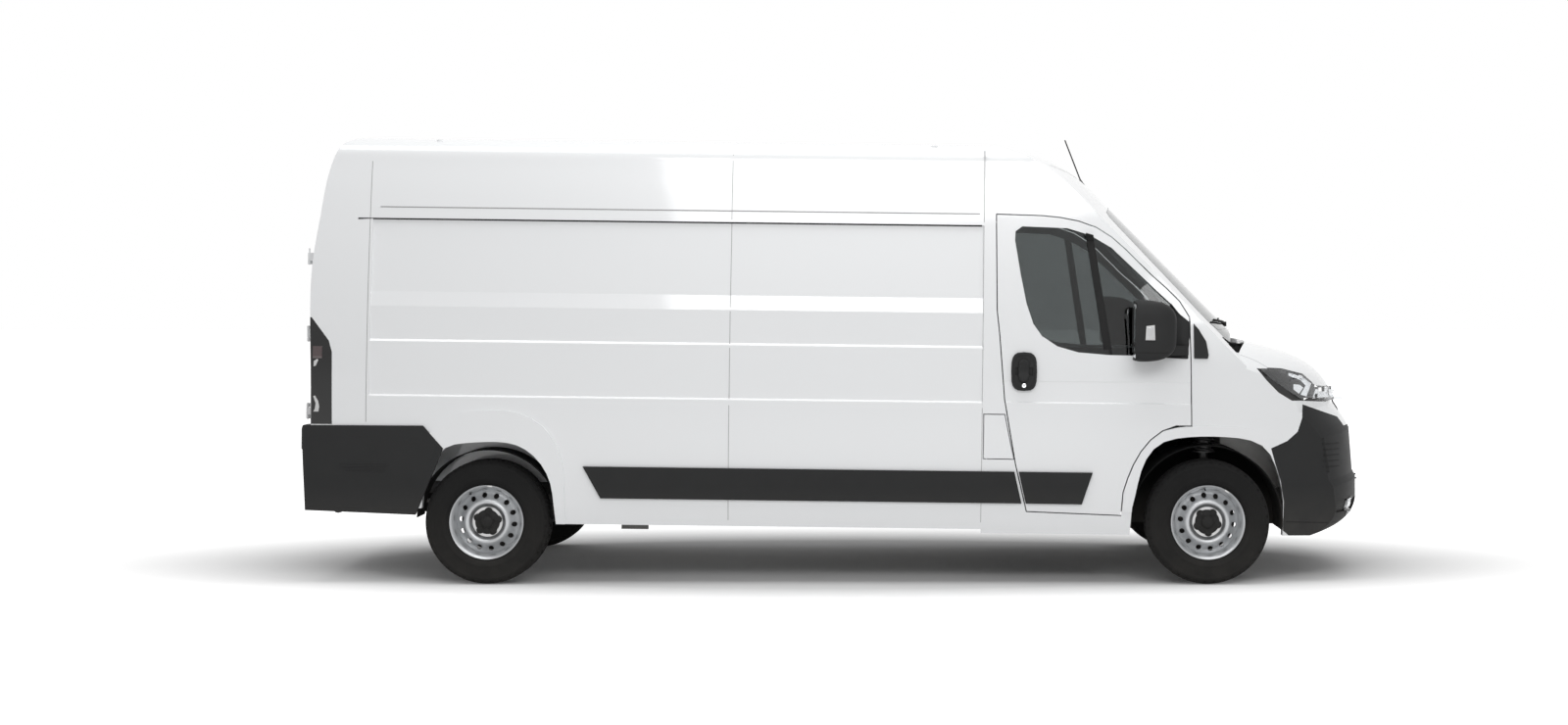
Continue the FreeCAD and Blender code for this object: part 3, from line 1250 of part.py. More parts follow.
def rear_frame_and_lamps(back):
    half = REAR_DOOR_HALF + SHUT_GAP
    opening = box(REAR_X - 80, REAR_SEAM_X, -half, half, REAR_DOOR_Z[0] - SHUT_GAP,
                  REAR_DOOR_Z[1] + SHUT_GAP)
    frame = back.cut(opening)
    lamp_zone = side_prism(TAIL_LAMP_OUTLINE, TAIL_LAMP_Y)
    lamp = biggest(frame.common(lamp_zone))
    frame = frame.cut(lamp_zone).cut(mirrored(lamp_zone))
    frame = frame.cut(box(REAR_X - 80, REAR_SEAM_X, -TAIL_LAMP_Y, TAIL_LAMP_Y, 0, RAIL_TOP))
    frame = frame.cut(box(REAR_X - 80, REAR_SEAM_X, -1100, 1100, 0, SKIRT_END_Z))
    arms = rear_door_hinges(False)
    arms = arms + [mirrored(arm) for arm in arms]
    return biggest(frame.fuse(arms)), lamp


def bumper_shell(body):
    """Rear bumper: corner pieces up to the lamps, with a step across the back on top."""
    outer = rear_sides(-BUMPER_PROUD).common(rear_solid(-REAR_STEP))
    shell = outer.cut(body.rear)
    sides = side_prism(REAR_BUMPER_OUTLINE, TAIL_LAMP_Y)
    low = box(REAR_X - 90, REAR_X + 20, -TAIL_LAMP_Y - 1, TAIL_LAMP_Y + 1, 384,
              REAR_DOOR_Z[0] - 2 * SHUT_GAP)
    step_under = prism_y([(-3200, 300), (-2994, 300), (-2998, 480), (-3006, 722),
                          (-3030, 735), (-3200, 735)], -1200, 1200)
    step_top = prism_y([(-3200, 828), (-3037, 828), (-3012, 840), (-3000, 870),
                        (-3200, 870)], -1200, 1200)
    shell = shell.common(fused([sides, mirrored(sides), low]))
    return biggest(shell.cut([step_under, step_top]))


def strip_sets():
    rear = rear_sides(-STRIP_T, x1=1100.0).cut(rear_sides(x1=1100.0))
    rear = rear.cut(front_sides().common(box(B_SEAM_X, 1200, -1100, 1100, 200, 1200)))
    zone = side_prism(REAR_STRIP_OUTLINE, 900.0)
    rear_strip = biggest(rear.common(zone))
    return rear_strip


def cut_pocket(cab, body):
    """Fuel filler pocket in the right door post, with the flap's hinge pin and filler cap."""
    pocket = side_prism(FLAP_OUTLINE, 985.0, gap=SHUT_GAP)
    cab = cab.cut(pocket)
    pin = rod((FLAP_HINGE_X, FLAP_HINGE_Y, 700), (FLAP_HINGE_X, FLAP_HINGE_Y, 976), 2.5)
    cap = rod((862, -970, 838), (862, -1000, 838), 34.0)
    return cab.fuse([pin, cap])


def cab_with_pillars(cab, body):
    """Add hinge pillars, hinges, sills and cross panels to the cab frame."""
    pillar = box(DOOR_HINGE_X - 40, 2010, -PILLAR_Y, -DASH_HALF - SEAT, 866, 1330)
    lug = box(1962, 2010, -992, -900, 1294, 1340)
    brace = box(1900, 2128, -PILLAR_Y, -SCUTTLE_HALF, 880, 960)
    turret_z = FRONT_Z + STRUT_TOP
    turret = box(FRONT_X - 95, FRONT_X + 74, -PILLAR_Y, -STRUT_Y + 90, turret_z, turret_z + 14)
    additions = [pillar, lug, brace, turret] + door_hinges()
    additions = additions + [mirrored(item) for item in additions]
    return cab.fuse(additions)


def make_nodes():
    nodes = {}
    body = make_body(nodes)
    door, glass, trim = door_set(body)
    nodes["front_door_right"] = door
    nodes["front_door_left"] = mirrored(door)
    nodes["door_glass_right"] = glass
    nodes["door_glass_left"] = mirrored(glass)
    nodes["door_trim_right"] = trim
    nodes["door_trim_left"] = mirrored(trim)
    mirror = mirror_housing()
    nodes["mirror_right"] = mirror
    nodes["mirror_left"] = mirrored(mirror)
    nodes["fuel_flap"] = fuel_flap(body)
    nodes["cab_frame"] = biggest(cut_pocket(cab_with_pillars(nodes["cab_frame"], body), body))

    back = nodes.pop("rear_frame")
    leaf = rear_doors(back)
    nodes["rear_door_right"] = Part.Compound([leaf, rear_door_handle(body)])
    nodes["rear_door_left"] = mirrored(leaf)
    frame, lamp = rear_frame_and_lamps(back)
    nodes["rear_frame"] = frame
    nodes["tail_lamps"] = Part.Compound(both(lamp))
    nodes["rear_bumper"] = bumper_shell(body)
    strip = strip_sets()
    nodes["rub_strips"] = Part.Compound(both(strip))

    right_rear = nodes["side_panel_right_rear"]
    flare = rear_sides(-FLARE_T).common(side_prism(REAR_FLARE, 900.0))
    flare = flare.cut(rear_sides(SIDE_T)).cut(side_prism(REAR_ARCH, 0.0))
    flare = flare.cut(side_prism(REAR_BUMPER_OUTLINE, 0.0, gap=1.0))
    flare = flare.common(box(-3000, 0, -1100, 0, REAR_SKIRT_Z, 2600))
    right_rear = biggest(right_rear.fuse(biggest(flare)))
    nodes["side_panel_right_rear"] = right_rear
    left_rear = mirrored(right_rear)
    left_front = mirrored(nodes["side_panel_right_front"])
    door_zone = box(SIDE_DOOR_REAR_X, SIDE_DOOR_FRONT_X, 0, 1100, 420, 2150)
    frame_zone = box(SIDE_DOOR_REAR_X - SHUT_GAP, SIDE_DOOR_FRONT_X + SHUT_GAP, 0, 1100,
                     420 - SHUT_GAP, 2150 + SHUT_GAP)
    nodes["sliding_door"] = biggest(left_front.common(door_zone))
    nodes["side_panel_left_front"] = biggest(left_front.cut(frame_zone))
    rail = rear_sides(-4.0).cut(rear_sides(6.0))
    rail = biggest(rail.common(box(-1950, -640, 0, 1100, 1190, 1222)))
    nodes["side_panel_left_rear"] = biggest(left_rear.fuse(rail))

    nodes["floor_pan"] = load_floor()
    nodes["cab_floor"] = cab_floor()
    inside = rear_sides(SIDE_T, x0=0).common(box(BULKHEAD_X, BULKHEAD_X + 24, -1100, 1100,
                                                 FLOOR_TOP, 2600))
    nodes["bulkhead"] = inside
    nodes["rear_frame"] = biggest(nodes["rear_frame"].cut(nodes["floor_pan"]))
    nodes["chassis_frame"] = chassis_frame()
    carriers = [front_suspension()] + drive_shafts() + struts()
    nodes["front_suspension"] = at_axle(Part.Compound(carriers), FRONT_X, FRONT_Z)
    nodes["rear_axle"] = at_axle(rear_axle(), BACK_X, BACK_Z)
    nodes["leaf_springs"] = at_axle(Part.Compound(leaf_springs()), BACK_X, BACK_Z)
    nodes["engine_block"] = engine_block()
    nodes["fuel_tank"] = fuel_tank()
    nodes["exhaust"] = exhaust()
    nodes["spare_wheel"] = spare_wheel()
    board = dashboard().fuse(steering_column()).cut(nodes["cab_floor"])
    nodes["dashboard"] = biggest(board)
    nodes["steering_wheel"] = steering_wheel()
    nodes["driver_seat"] = seat(DRIVER_Y, 240.0)
    nodes["passenger_seat"] = seat(300.0, 440.0)
    nodes["antenna"] = antenna(body)
    nodes["roof_rack_mounts"] = Part.Compound(rack_plinths())
    nodes["roof_rear"] = biggest(nodes["roof_rear"].cut(rack_plinths(SEAT)))
    liners = both(arch_liner_front()) + both(arch_liner_rear())
    nodes["arch_liners"] = Part.Compound(liners)
    upright = at_axle(knuckle(), FRONT_X, FRONT_Z)
    nodes["knuckle_right"] = upright
    nodes["knuckle_left"] = mirrored(upright)
    for axle, x, z, track in (("front", FRONT_X, FRONT_Z, TRACK_FRONT),
                              ("rear", BACK_X, BACK_Z, TRACK_REAR)):
        right_tyre = at_axle(tyre(-track / 2.0), x, z)
        wheel = rim(-track / 2.0, RIM_HOLES)
        if axle == "front":
            wheel = wheel.fuse(brake_disc(-track / 2.0))
        wheel = at_axle(wheel, x, z)
        nodes["tyre_" + axle + "_right"] = right_tyre
        nodes["tyre_" + axle + "_left"] = mirrored(right_tyre)
        nodes["rim_" + axle + "_right"] = wheel
        nodes["rim_" + axle + "_left"] = mirrored(wheel)
    return nodes


def stand_on_axles(shape):
    """Tilt a finished piece by the unladen stance."""
    placed = shape.copy()
    placed.rotate(Vector(0, 0, PITCH_Z), Vector(0, 1, 0), PITCH_DEG)
    placed.translate(Vector(ORIGIN_X, 0, 0))
    return placed


def main():
    os.makedirs("parts", exist_ok=True)
    for name, shape in make_nodes().items():
        stand_on_axles(shape).exportStep("parts/" + name + ".step")


if __name__ == "__main__":
    main()
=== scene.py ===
"""Panel van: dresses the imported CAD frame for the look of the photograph."""
import math
import bmesh
import bpy
from mathutils import Matrix, Vector
from mathutils.bvhtree import BVHTree


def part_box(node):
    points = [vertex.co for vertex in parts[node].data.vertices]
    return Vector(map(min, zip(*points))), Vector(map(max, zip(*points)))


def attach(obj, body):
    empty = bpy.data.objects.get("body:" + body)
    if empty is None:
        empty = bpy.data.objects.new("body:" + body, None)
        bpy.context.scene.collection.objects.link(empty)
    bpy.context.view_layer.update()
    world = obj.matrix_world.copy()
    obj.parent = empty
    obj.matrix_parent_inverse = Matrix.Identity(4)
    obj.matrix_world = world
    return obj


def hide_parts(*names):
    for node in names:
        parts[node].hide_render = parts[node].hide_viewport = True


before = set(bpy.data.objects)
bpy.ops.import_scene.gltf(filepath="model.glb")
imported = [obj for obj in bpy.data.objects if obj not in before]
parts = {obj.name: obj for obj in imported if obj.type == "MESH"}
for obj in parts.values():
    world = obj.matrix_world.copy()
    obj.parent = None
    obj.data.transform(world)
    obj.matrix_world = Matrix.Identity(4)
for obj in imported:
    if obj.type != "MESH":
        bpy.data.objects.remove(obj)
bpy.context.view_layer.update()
scene = bpy.context.scene

# The body is drawn level in millimetres and set down nose-low on its axles in metres
MM_IN_METRE = 1000.0
NOSE_DOWN = math.radians(0.7)
PITCH_HEIGHT = 0.62
AHEAD = 0.0101
STANCE = (Matrix.Translation((AHEAD, 0.0, PITCH_HEIGHT)) @ Matrix.Rotation(NOSE_DOWN, 4, "Y")
          @ Matrix.Translation((0.0, 0.0, -PITCH_HEIGHT)) @ Matrix.Scale(1.0 / MM_IN_METRE, 4))
LEVEL = STANCE.inverted()
FORWARD = (STANCE.to_3x3() @ Vector((1.0, 0.0, 0.0))).normalized()
FULL_TURN = 2.0 * math.pi
WHITE = (1.0, 1.0, 1.0, 1.0)
# Millimetres between a trim plate and the face that it is laid on
SIT = 0.3
FRONT, REAR = 1.0, -1.0
DOORS = ("front_door_right", "front_door_left")
REAR_DOORS = ("rear_door_right", "rear_door_left")


# Camera, at the photograph's height and distance
def set_camera():
    eye = bpy.data.cameras.new("side_camera")
    eye.lens = 53.39
    eye.sensor_width = 36.0
    eye.shift_x = -0.08625
    eye.shift_y = -0.055
    eye.clip_end = 200.0
    stand = bpy.data.objects.new("side_camera", eye)
    stand.location = (0.4471, -14.0, 1.725)
    stand.rotation_euler = (math.radians(90.0), 0.0, 0.0)
    scene.collection.objects.link(stand)
    scene.camera = stand


# Shader building
class Board:
    """A node tree, with short calls that add nodes and join their sockets."""

    def __init__(self, tree):
        self.tree = tree

    def feed(self, value, socket):
        """Give a socket a number or colour, or join another node's output to it."""
        if isinstance(value, bpy.types.NodeSocket):
            self.tree.links.new(value, socket)
        else:
            socket.default_value = value

    def add(self, kind, inputs=None, **settings):
        node = self.tree.nodes.new("ShaderNode" + kind)
        for key, value in settings.items():
            setattr(node, key, value)
        for socket, value in (inputs or {}).items():
            self.feed(value, node.inputs[socket])
        return node

    def math(self, operation, *values, clamp=False):
        node = self.add("Math", operation=operation, use_clamp=clamp)
        for value, socket in zip(values, node.inputs):
            self.feed(value, socket)
        return node.outputs["Value"]

    def mix(self, share, first, second):
        colours = {"Factor": share, 6: first, 7: second}
        return self.add("Mix", colours, data_type="RGBA").outputs[2]

    def place(self):
        return self.add("TexCoord").outputs["Object"]

    def seen(self):
        """One for rays from the camera, through glass or off a glossy face, and else nought."""
        path = self.add("LightPath").outputs
        eye = self.math("MAXIMUM", path["Is Camera Ray"], path["Is Transmission Ray"])
        return self.math("MAXIMUM", eye, path["Is Glossy Ray"])


class Effect(Board):
    """A shader node group with named inputs and outputs."""

    def __init__(self, name, inputs, outputs):
        super().__init__(bpy.data.node_groups.new(name, "ShaderNodeTree"))
        new_socket = self.tree.interface.new_socket
        for label, value in inputs.items():
            kind = "NodeSocketFloat" if isinstance(value, float) else "NodeSocketColor"
            new_socket(label, in_out="INPUT", socket_type=kind).default_value = value
        for label in outputs:
            kind = "NodeSocketColor" if label == "Colour" else "NodeSocketFloat"
            new_socket(label, in_out="OUTPUT", socket_type=kind)
        self.given = self.tree.nodes.new("NodeGroupInput").outputs
        self.result = self.tree.nodes.new("NodeGroupOutput").inputs


class Paintbox(Board):
    """One material: a Principled shader and the nodes that feed it."""

    def __init__(self, name, **sockets):
        self.material = bpy.data.materials.new(name)
        self.material.use_nodes = True
        super().__init__(self.material.node_tree)
        self.shader = self.tree.nodes["Principled BSDF"].inputs
        for socket, value in sockets.items():
            self.shader[socket.replace("_", " ")].default_value = value

    def wear(self, colour, roughness, dust, variation, scale):
        """Base colour and roughness from the road wear group."""
        values = {"Colour": colour, "Roughness": roughness, "Dust": dust,
                  "Variation": variation, "Scale": scale}
        worn = self.add("Group", values, node_tree=WEAR).outputs
        self.feed(worn["Colour"], self.shader["Base Color"])
        self.feed(worn["Roughness"], self.shader["Roughness"])

    def noise(self, scale, **inputs):
        values = {"Scale": scale, "Vector": self.place(), **inputs}
        return self.add("TexNoise", values).outputs["Fac"]

    def bump(self, height, strength, distance):
        values = {"Strength": strength, "Distance": distance, "Height": height}
        self.feed(self.add("Bump", values).outputs["Normal"], self.shader["Normal"])


def road_wear():
    """Colour and roughness with fine mottling, and road dust low down."""
    wear = Effect("road_wear",
                  {"Colour": (0.5, 0.5, 0.5, 1.0), "Dust Colour": (0.32, 0.30, 0.27, 1.0),
                   "Dust": 0.2, "Dust Height": 0.55, "Roughness": 0.5, "Variation": 0.1,
                   "Scale": 8.0}, ("Colour", "Roughness"))
    given = wear.given
    place = wear.place()
    mottle = wear.add("TexNoise", {"Detail": 6.0, "Vector": place, "Scale": given["Scale"]})
    mottle = mottle.outputs["Fac"]
    height = wear.add("SeparateXYZ", {"Vector": place}).outputs["Z"]
    low = wear.add("MapRange", {"Value": height, "From Min": 0.0, "From Max": given["Dust Height"],
                                "To Min": 1.0, "To Max": 0.0})
    share = wear.math("MULTIPLY", low.outputs["Result"], mottle)
    amount = wear.math("MULTIPLY", share, given["Dust"], clamp=True)
    wear.feed(wear.mix(amount, given["Colour"], given["Dust Colour"]), wear.result["Colour"])
    centred = wear.math("SUBTRACT", mottle, 0.5)
    rough = wear.math("MULTIPLY_ADD", centred, given["Variation"], given["Roughness"])
    wear.feed(rough, wear.result["Roughness"])
    return wear.tree


def moulded_grain():
    """Moulded grain: small pits with a little waviness over them, as a height."""
    grain = Effect("moulded_grain", {"Scale": 700.0, "Waviness": 0.3}, ("Height",))
    given = grain.given
    place = grain.place()
    pits = grain.add("TexVoronoi", {"Vector": place, "Scale": given["Scale"]},
                     feature="SMOOTH_F1")
    waves = grain.add("TexNoise", {"Scale": 60.0, "Vector": place})
    height = grain.math("MULTIPLY_ADD", waves.outputs["Fac"], given["Waviness"],
                        pits.outputs["Distance"])
    grain.feed(height, grain.result["Height"])
    return grain.tree


def cloth_weave():
    """Plain weave of seat cloth, as a height, with painted shade: the colour is darker where the
    weave is low, between the threads.
    """
    weave = Effect("cloth_weave", {"Thread": 900.0, "Light": (0.8, 0.8, 0.8, 1.0),
                                   "Dark": (0.2, 0.2, 0.2, 1.0)}, ("Colour", "Height"))
    given = weave.given
    yarn = {"Distortion": 0.6, "Vector": weave.place(), "Scale": given["Thread"]}
    along, across, up = [weave.add("TexWave", yarn, bands_direction=way).outputs["Fac"]
                         for way in "XYZ"]
    threads = weave.math("MULTIPLY", weave.math("MAXIMUM", along, across), up)
    # Painted shade: the colour follows the height, dark down between the threads.
    weave.feed(weave.mix(threads, given["Dark"], given["Light"]), weave.result["Colour"])
    weave.feed(threads, weave.result["Height"])
    return weave.tree


WEAR = road_wear()
GRAIN = moulded_grain()
WEAVE = cloth_weave()


def painted(name, colour, roughness, coat=1.0, dust=0.05):
    """Enamelled sheet metal: even colour, clear coat, a trace of orange peel."""
    paint = Paintbox(name, Coat_Weight=coat, Coat_Roughness=0.06)
    paint.wear(colour, roughness, dust, variation=0.06, scale=5.0)
    paint.bump(paint.noise(220.0, Detail=2.0), 0.03, 0.0006)
    return paint.material


def moulded(name, colour, roughness, grain=700.0, depth=0.35, dust=0.25, shine=0.2):
    """Moulded plastic or rubber with a grained face."""
    plastic = Paintbox(name, Specular_IOR_Level=shine)
    plastic.wear(colour, roughness, dust, variation=0.14, scale=9.0)
    skin = plastic.add("Group", {"Scale": grain, "Waviness": 0.4}, node_tree=GRAIN)
    plastic.bump(skin.outputs["Height"], depth, 0.0005)
    return plastic.material


def metal(name, colour, roughness, metallic=1.0, dust=0.1, depth=0.1):
    """Bare, plated or cast metal with a fine uneven skin."""
    bare = Paintbox(name, Metallic=metallic)
    bare.wear(colour, roughness, dust, variation=0.2, scale=40.0)
    bare.bump(bare.noise(480.0), depth, 0.0008)
    return bare.material


def glazed(name, colour, roughness=0.0, transmission=1.0):
    """Glass or clear plastic, tinted, with a faint film of dust in its roughness."""
    pane = Paintbox(name, Base_Color=colour, Roughness=roughness, IOR=1.46,
                    Transmission_Weight=transmission)
    film = pane.add("MapRange", {"Value": pane.noise(3.0), "To Min": roughness,
                                 "To Max": roughness + 0.03})
    pane.feed(film.outputs["Result"], pane.shader["Roughness"])
    return pane.material


def woven(name, light, dark):
    cloth = Paintbox(name, Roughness=0.95, Specular_IOR_Level=0.2, Sheen_Weight=0.3)
    yarn = cloth.add("Group", {"Thread": 900.0, "Light": light, "Dark": dark}, node_tree=WEAVE)
    cloth.feed(yarn.outputs["Colour"], cloth.shader["Base Color"])
    cloth.bump(yarn.outputs["Height"], 0.5, 0.0008)
    return cloth.material


def grey(level, tint=0.0):
    return (level * (1.0 - tint), level, level * (1.0 + tint), 1.0)


PAINT = painted("white_paint", (0.79, 0.80, 0.81, 1.0), 0.30)
TRIM = moulded("bumper_plastic", grey(0.017, 0.02), 0.58)
SOFT_BLACK = moulded("seal_rubber", grey(0.012), 0.7, grain=300.0, dust=0.1)
# Black fibre of the arch liners, made darker still as painted shade, so the lit arches read as
# deep shadow.
LINER_WITH_PAINTED_SHADE = moulded("liner_fibre_with_painted_shade", grey(0.007), 0.95, grain=180.0, depth=0.6, dust=0.5)
GLOSS = moulded("gloss_black", grey(0.008), 0.12, depth=0.0, dust=0.05, shine=0.42)
CABIN = moulded("cabin_plastic", grey(0.045, 0.03), 0.6, grain=500.0, dust=0.0)
CABIN_DARK = moulded("cabin_dark_plastic", grey(0.018), 0.55, grain=500.0, dust=0.0)
RUBBER = moulded("tyre_rubber", grey(0.006), 0.82, grain=420.0, depth=0.25, dust=0.1)
STEEL = metal("silver_wheel_paint", (0.44, 0.45, 0.46, 1.0), 0.33, metallic=0.75, depth=0.02)
CAST = metal("cast_iron", (0.11, 0.105, 0.10, 1.0), 0.6, metallic=0.7, dust=0.5, depth=0.5)
DISC = metal("ground_steel", grey(0.45), 0.35, dust=0.2)
CHASSIS = painted("chassis_black", grey(0.03), 0.55, coat=0.2, dust=0.7)
ALLOY = metal("raw_alloy", (0.50, 0.50, 0.49, 1.0), 0.5, dust=0.3, depth=0.3)
RUSTY = metal("warm_exhaust_steel", (0.26, 0.22, 0.19, 1.0), 0.55, metallic=0.8, dust=0.4)
BRIGHT = metal("reflector_bright", (0.86, 0.87, 0.88, 1.0), 0.14, dust=0.0, depth=0.0)
GLASS = glazed("tinted_glass", (0.24, 0.26, 0.26, 1.0))
CLEAR = glazed("clear_lens", (0.93, 0.94, 0.95, 1.0), 0.02)
RED_LENS = glazed("red_lens", (0.42, 0.012, 0.012, 1.0), 0.05, 0.85)
# Painted shade: an opaque, much darker copy of the red lens, for the side of the tail lamps that
# lies in shade.
RED_LENS_PAINTED_SHADE = painted("red_lens_painted_shade", (0.030, 0.006, 0.007, 1.0), 0.14)
AMBER_LENS = glazed("amber_lens", (0.8, 0.25, 0.02, 1.0), 0.05, 0.85)
SEAT_CLOTH = woven("seat_cloth", grey(0.060, 0.05), grey(0.018))
WHITE_PLASTIC = moulded("white_lamp_plastic", grey(0.62), 0.35, depth=0.05, dust=0.0)
# Grey of the seam sealer, also used as painted shade along the rear doors' pressed creases.
SEALER_AND_CREASE_SHADE = moulded("grey_seam_sealer_and_crease_shade", grey(0.33), 0.6, depth=0.1, dust=0.1)
MIRROR = metal("mirror_glass", (0.80, 0.82, 0.84, 1.0), 0.03, dust=0.0, depth=0.0)

FINISHES = {
    PAINT: ("roof_front roof_rear side_panel_left_front side_panel_left_rear "
            "side_panel_right_front side_panel_right_rear sliding_door rear_frame "
            "rear_door_left rear_door_right cab_frame front_wings bonnet front_door_left "
            "front_door_right fuel_flap bulkhead floor_pan roof_rack_mounts"),
    TRIM: ("front_bumper rear_bumper rub_strips door_trim_left door_trim_right mirror_left "
           "mirror_right cowl_trim grille"),
    LINER_WITH_PAINTED_SHADE: "arch_liners",
    GLASS: "windscreen door_glass_left door_glass_right",
    GLOSS: "headlamps tail_lamps",
    CABIN: "dashboard cab_floor",
    CABIN_DARK: "steering_wheel antenna",
    SEAT_CLOTH: "driver_seat passenger_seat",
    CHASSIS: "chassis_frame leaf_springs fuel_tank rear_axle front_suspension",
    CAST: "knuckle_left knuckle_right",
    ALLOY: "engine_block",
    RUSTY: "exhaust",
    RUBBER: "tyre_front_left tyre_front_right tyre_rear_left tyre_rear_right spare_wheel",
    STEEL: "rim_front_left rim_front_right rim_rear_left rim_rear_right",
}


def finish_cad():
    for finish, names in FINISHES.items():
        for name in names.split():
            mesh = parts[name].data
            mesh.materials.clear()
            mesh.materials.append(finish)


# Degrees past which an edge stays sharp
SHARP = 32.0
WHEEL_SHARP = 38.0


# Mesh helpers
def placed(name, bm):
    """A finished bmesh as an object in the scene."""
    mesh = bpy.data.meshes.new(name)
    bm.to_mesh(mesh)
    bm.free()
    thing = bpy.data.objects.new(name, mesh)
    scene.collection.objects.link(thing)
    return thing


def make_piece(name, bm, finish, body="root", drawn=False, sharp=SHARP):
    """One piece that rides on a body; a drawn one is still level and in millimetres."""
    if drawn:
        bmesh.ops.transform(bm, matrix=STANCE, verts=bm.verts)
    piece = placed(name, bm)
    piece.data.materials.append(finish)
    piece.data.shade_smooth()
    piece.data.set_sharp_from_angle(angle=math.radians(sharp))
    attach(piece, body)
    return piece


def flipped(bm):
    """The same shape on the other side of the van."""
    other = bm.copy()
    bmesh.ops.scale(other, vec=(1.0, -1.0, 1.0), verts=other.verts)
    bmesh.ops.reverse_faces(other, faces=other.faces)
    return other


def both_sides(name, bm, finish, bodies=("root", "root")):
    """The right piece and its mirror image on the left."""
    other = flipped(bm)
    make_piece(name + "_right", bm, finish, bodies[0])
    make_piece(name + "_left", other, finish, bodies[1])


def joined(meshes):
    """Several bmeshes as one."""
    whole = bmesh.new()
    for bm in meshes:
        scratch = bpy.data.meshes.new("scratch")
        bm.to_mesh(scratch)
        bm.free()
        whole.from_mesh(scratch)
        bpy.data.meshes.remove(scratch)
    return whole


def everything(bm):
    return bm.verts[:] + bm.edges[:] + bm.faces[:]


def eased(bm, edges, width, segments=2):
    """Round some edges over."""
    bmesh.ops.bevel(bm, geom=edges, offset=width, segments=segments, profile=0.5,
                    affect="EDGES", material=-1)


def pulled(bm, vec):
    """Extrude every face of a sheet by a vector and close the shape; gives the moved points."""
    out = bmesh.ops.extrude_face_region(bm, geom=bm.faces[:])
    moved = [v for v in out["geom"] if isinstance(v, bmesh.types.BMVert)]
    bmesh.ops.translate(bm, vec=vec, verts=moved)
    bmesh.ops.recalc_face_normals(bm, faces=bm.faces)
    return moved


def face_of(points, y=0.0):
    """A flat face drawn in the side view."""
    bm = bmesh.new()
    bm.faces.new([bm.verts.new((x, y, z)) for x, z in points])
    return bm


def ring_of(points, width):
    """A band just inside an outline drawn in the side view."""
    bm = face_of(points)
    bmesh.ops.inset_region(bm, faces=bm.faces[:], thickness=width, use_even_offset=True,
                           use_boundary=True)
    middle = max(bm.faces, key=lambda face: face.calc_area())
    bmesh.ops.delete(bm, geom=[middle], context="FACES")
    return bm


def thicken(bm, depth, rim, way):
    """Pull a sheet of faces out by its thickness and round its outer rim."""
    outer = set(pulled(bm, Vector(way) * depth))
    if rim:
        top = [e for e in bm.edges if e.verts[0] in outer and e.verts[1] in outer
               and len(e.link_faces) == 2
               and e.link_faces[0].normal.dot(e.link_faces[1].normal) < 0.6]
        eased(bm, top, rim)
    return bm


def slab(x, y, z, rim):
    """A block from its ranges, with rounded edges."""
    bm = bmesh.new()
    bmesh.ops.create_cube(bm, size=1.0)
    bmesh.ops.scale(bm, vec=(x[1] - x[0], y[1] - y[0], z[1] - z[0]), verts=bm.verts)
    middle = ((x[0] + x[1]) / 2.0, (y[0] + y[1]) / 2.0, (z[0] + z[1]) / 2.0)
    bmesh.ops.translate(bm, vec=middle, verts=bm.verts)
    eased(bm, bm.edges[:], rim)
    return bm


def turned(profile, steps, close=True):
    """Turn a half section of (radius, y) about the Y axis."""
    bm = bmesh.new()
    verts = [bm.verts.new((r, y, 0.0)) for r, y in profile]
    pairs = list(zip(verts, verts[1:]))
    if close:
        pairs.append((verts[-1], verts[0]))
    edges = [bm.edges.new(pair) for pair in pairs]
    bmesh.ops.spin(bm, geom=verts + edges, cent=(0, 0, 0), axis=(0, 1, 0), angle=FULL_TURN,
                   steps=steps, use_merge=True)
    bmesh.ops.remove_doubles(bm, verts=bm.verts, dist=0.001)
    bmesh.ops.recalc_face_normals(bm, faces=bm.faces)
    return bm


def knob(radius, y0, y1, rim, x=0.0, z=0.0, sides=24):
    """A round boss along Y, with the edge of its far end rounded."""
    bm = bmesh.new()
    bmesh.ops.create_cone(bm, cap_ends=True, segments=sides, radius1=radius, radius2=radius,
                          depth=abs(y1 - y0))
    turn = Matrix.Rotation(math.radians(90.0 if y1 < y0 else -90.0), 4, "X")
    bmesh.ops.transform(bm, matrix=turn, verts=bm.verts)
    end = (y1 - y0) / 2.0
    eased(bm, [e for e in bm.edges if all(abs(v.co.y - end) < 0.01 for v in e.verts)], rim, 3)
    bmesh.ops.translate(bm, vec=(x, (y0 + y1) / 2.0, z), verts=bm.verts)
    return bm


def tube(name, points, radius, finish):
    """A round bar or pipe along a smooth line, made a mesh."""
    curve = bpy.data.curves.new(name, "CURVE")
    curve.dimensions = "3D"
    curve.bevel_depth = radius
    curve.bevel_resolution = 4
    curve.use_fill_caps = True
    line = curve.splines.new("NURBS")
    line.points.add(len(points) - 1)
    for point, place in zip(line.points, points):
        point.co = (place[0], place[1], place[2], 1.0)
    line.order_u = 3
    line.use_endpoint_u = True
    line.resolution_u = 8
    holder = bpy.data.objects.new(name, curve)
    mesh = bpy.data.meshes.new_from_object(holder)
    bpy.data.objects.remove(holder)
    bm = bmesh.new()
    bm.from_mesh(mesh)
    bpy.data.meshes.remove(mesh)
    make_piece(name, bm, finish, drawn=True)


# Where the rays that look for a skin start: beside the van and near its middle in metres,
# and beyond its ends in the millimetres of the level drawing
BESIDE = 1.6
INSIDE = -0.3
BEYOND = 5000.0


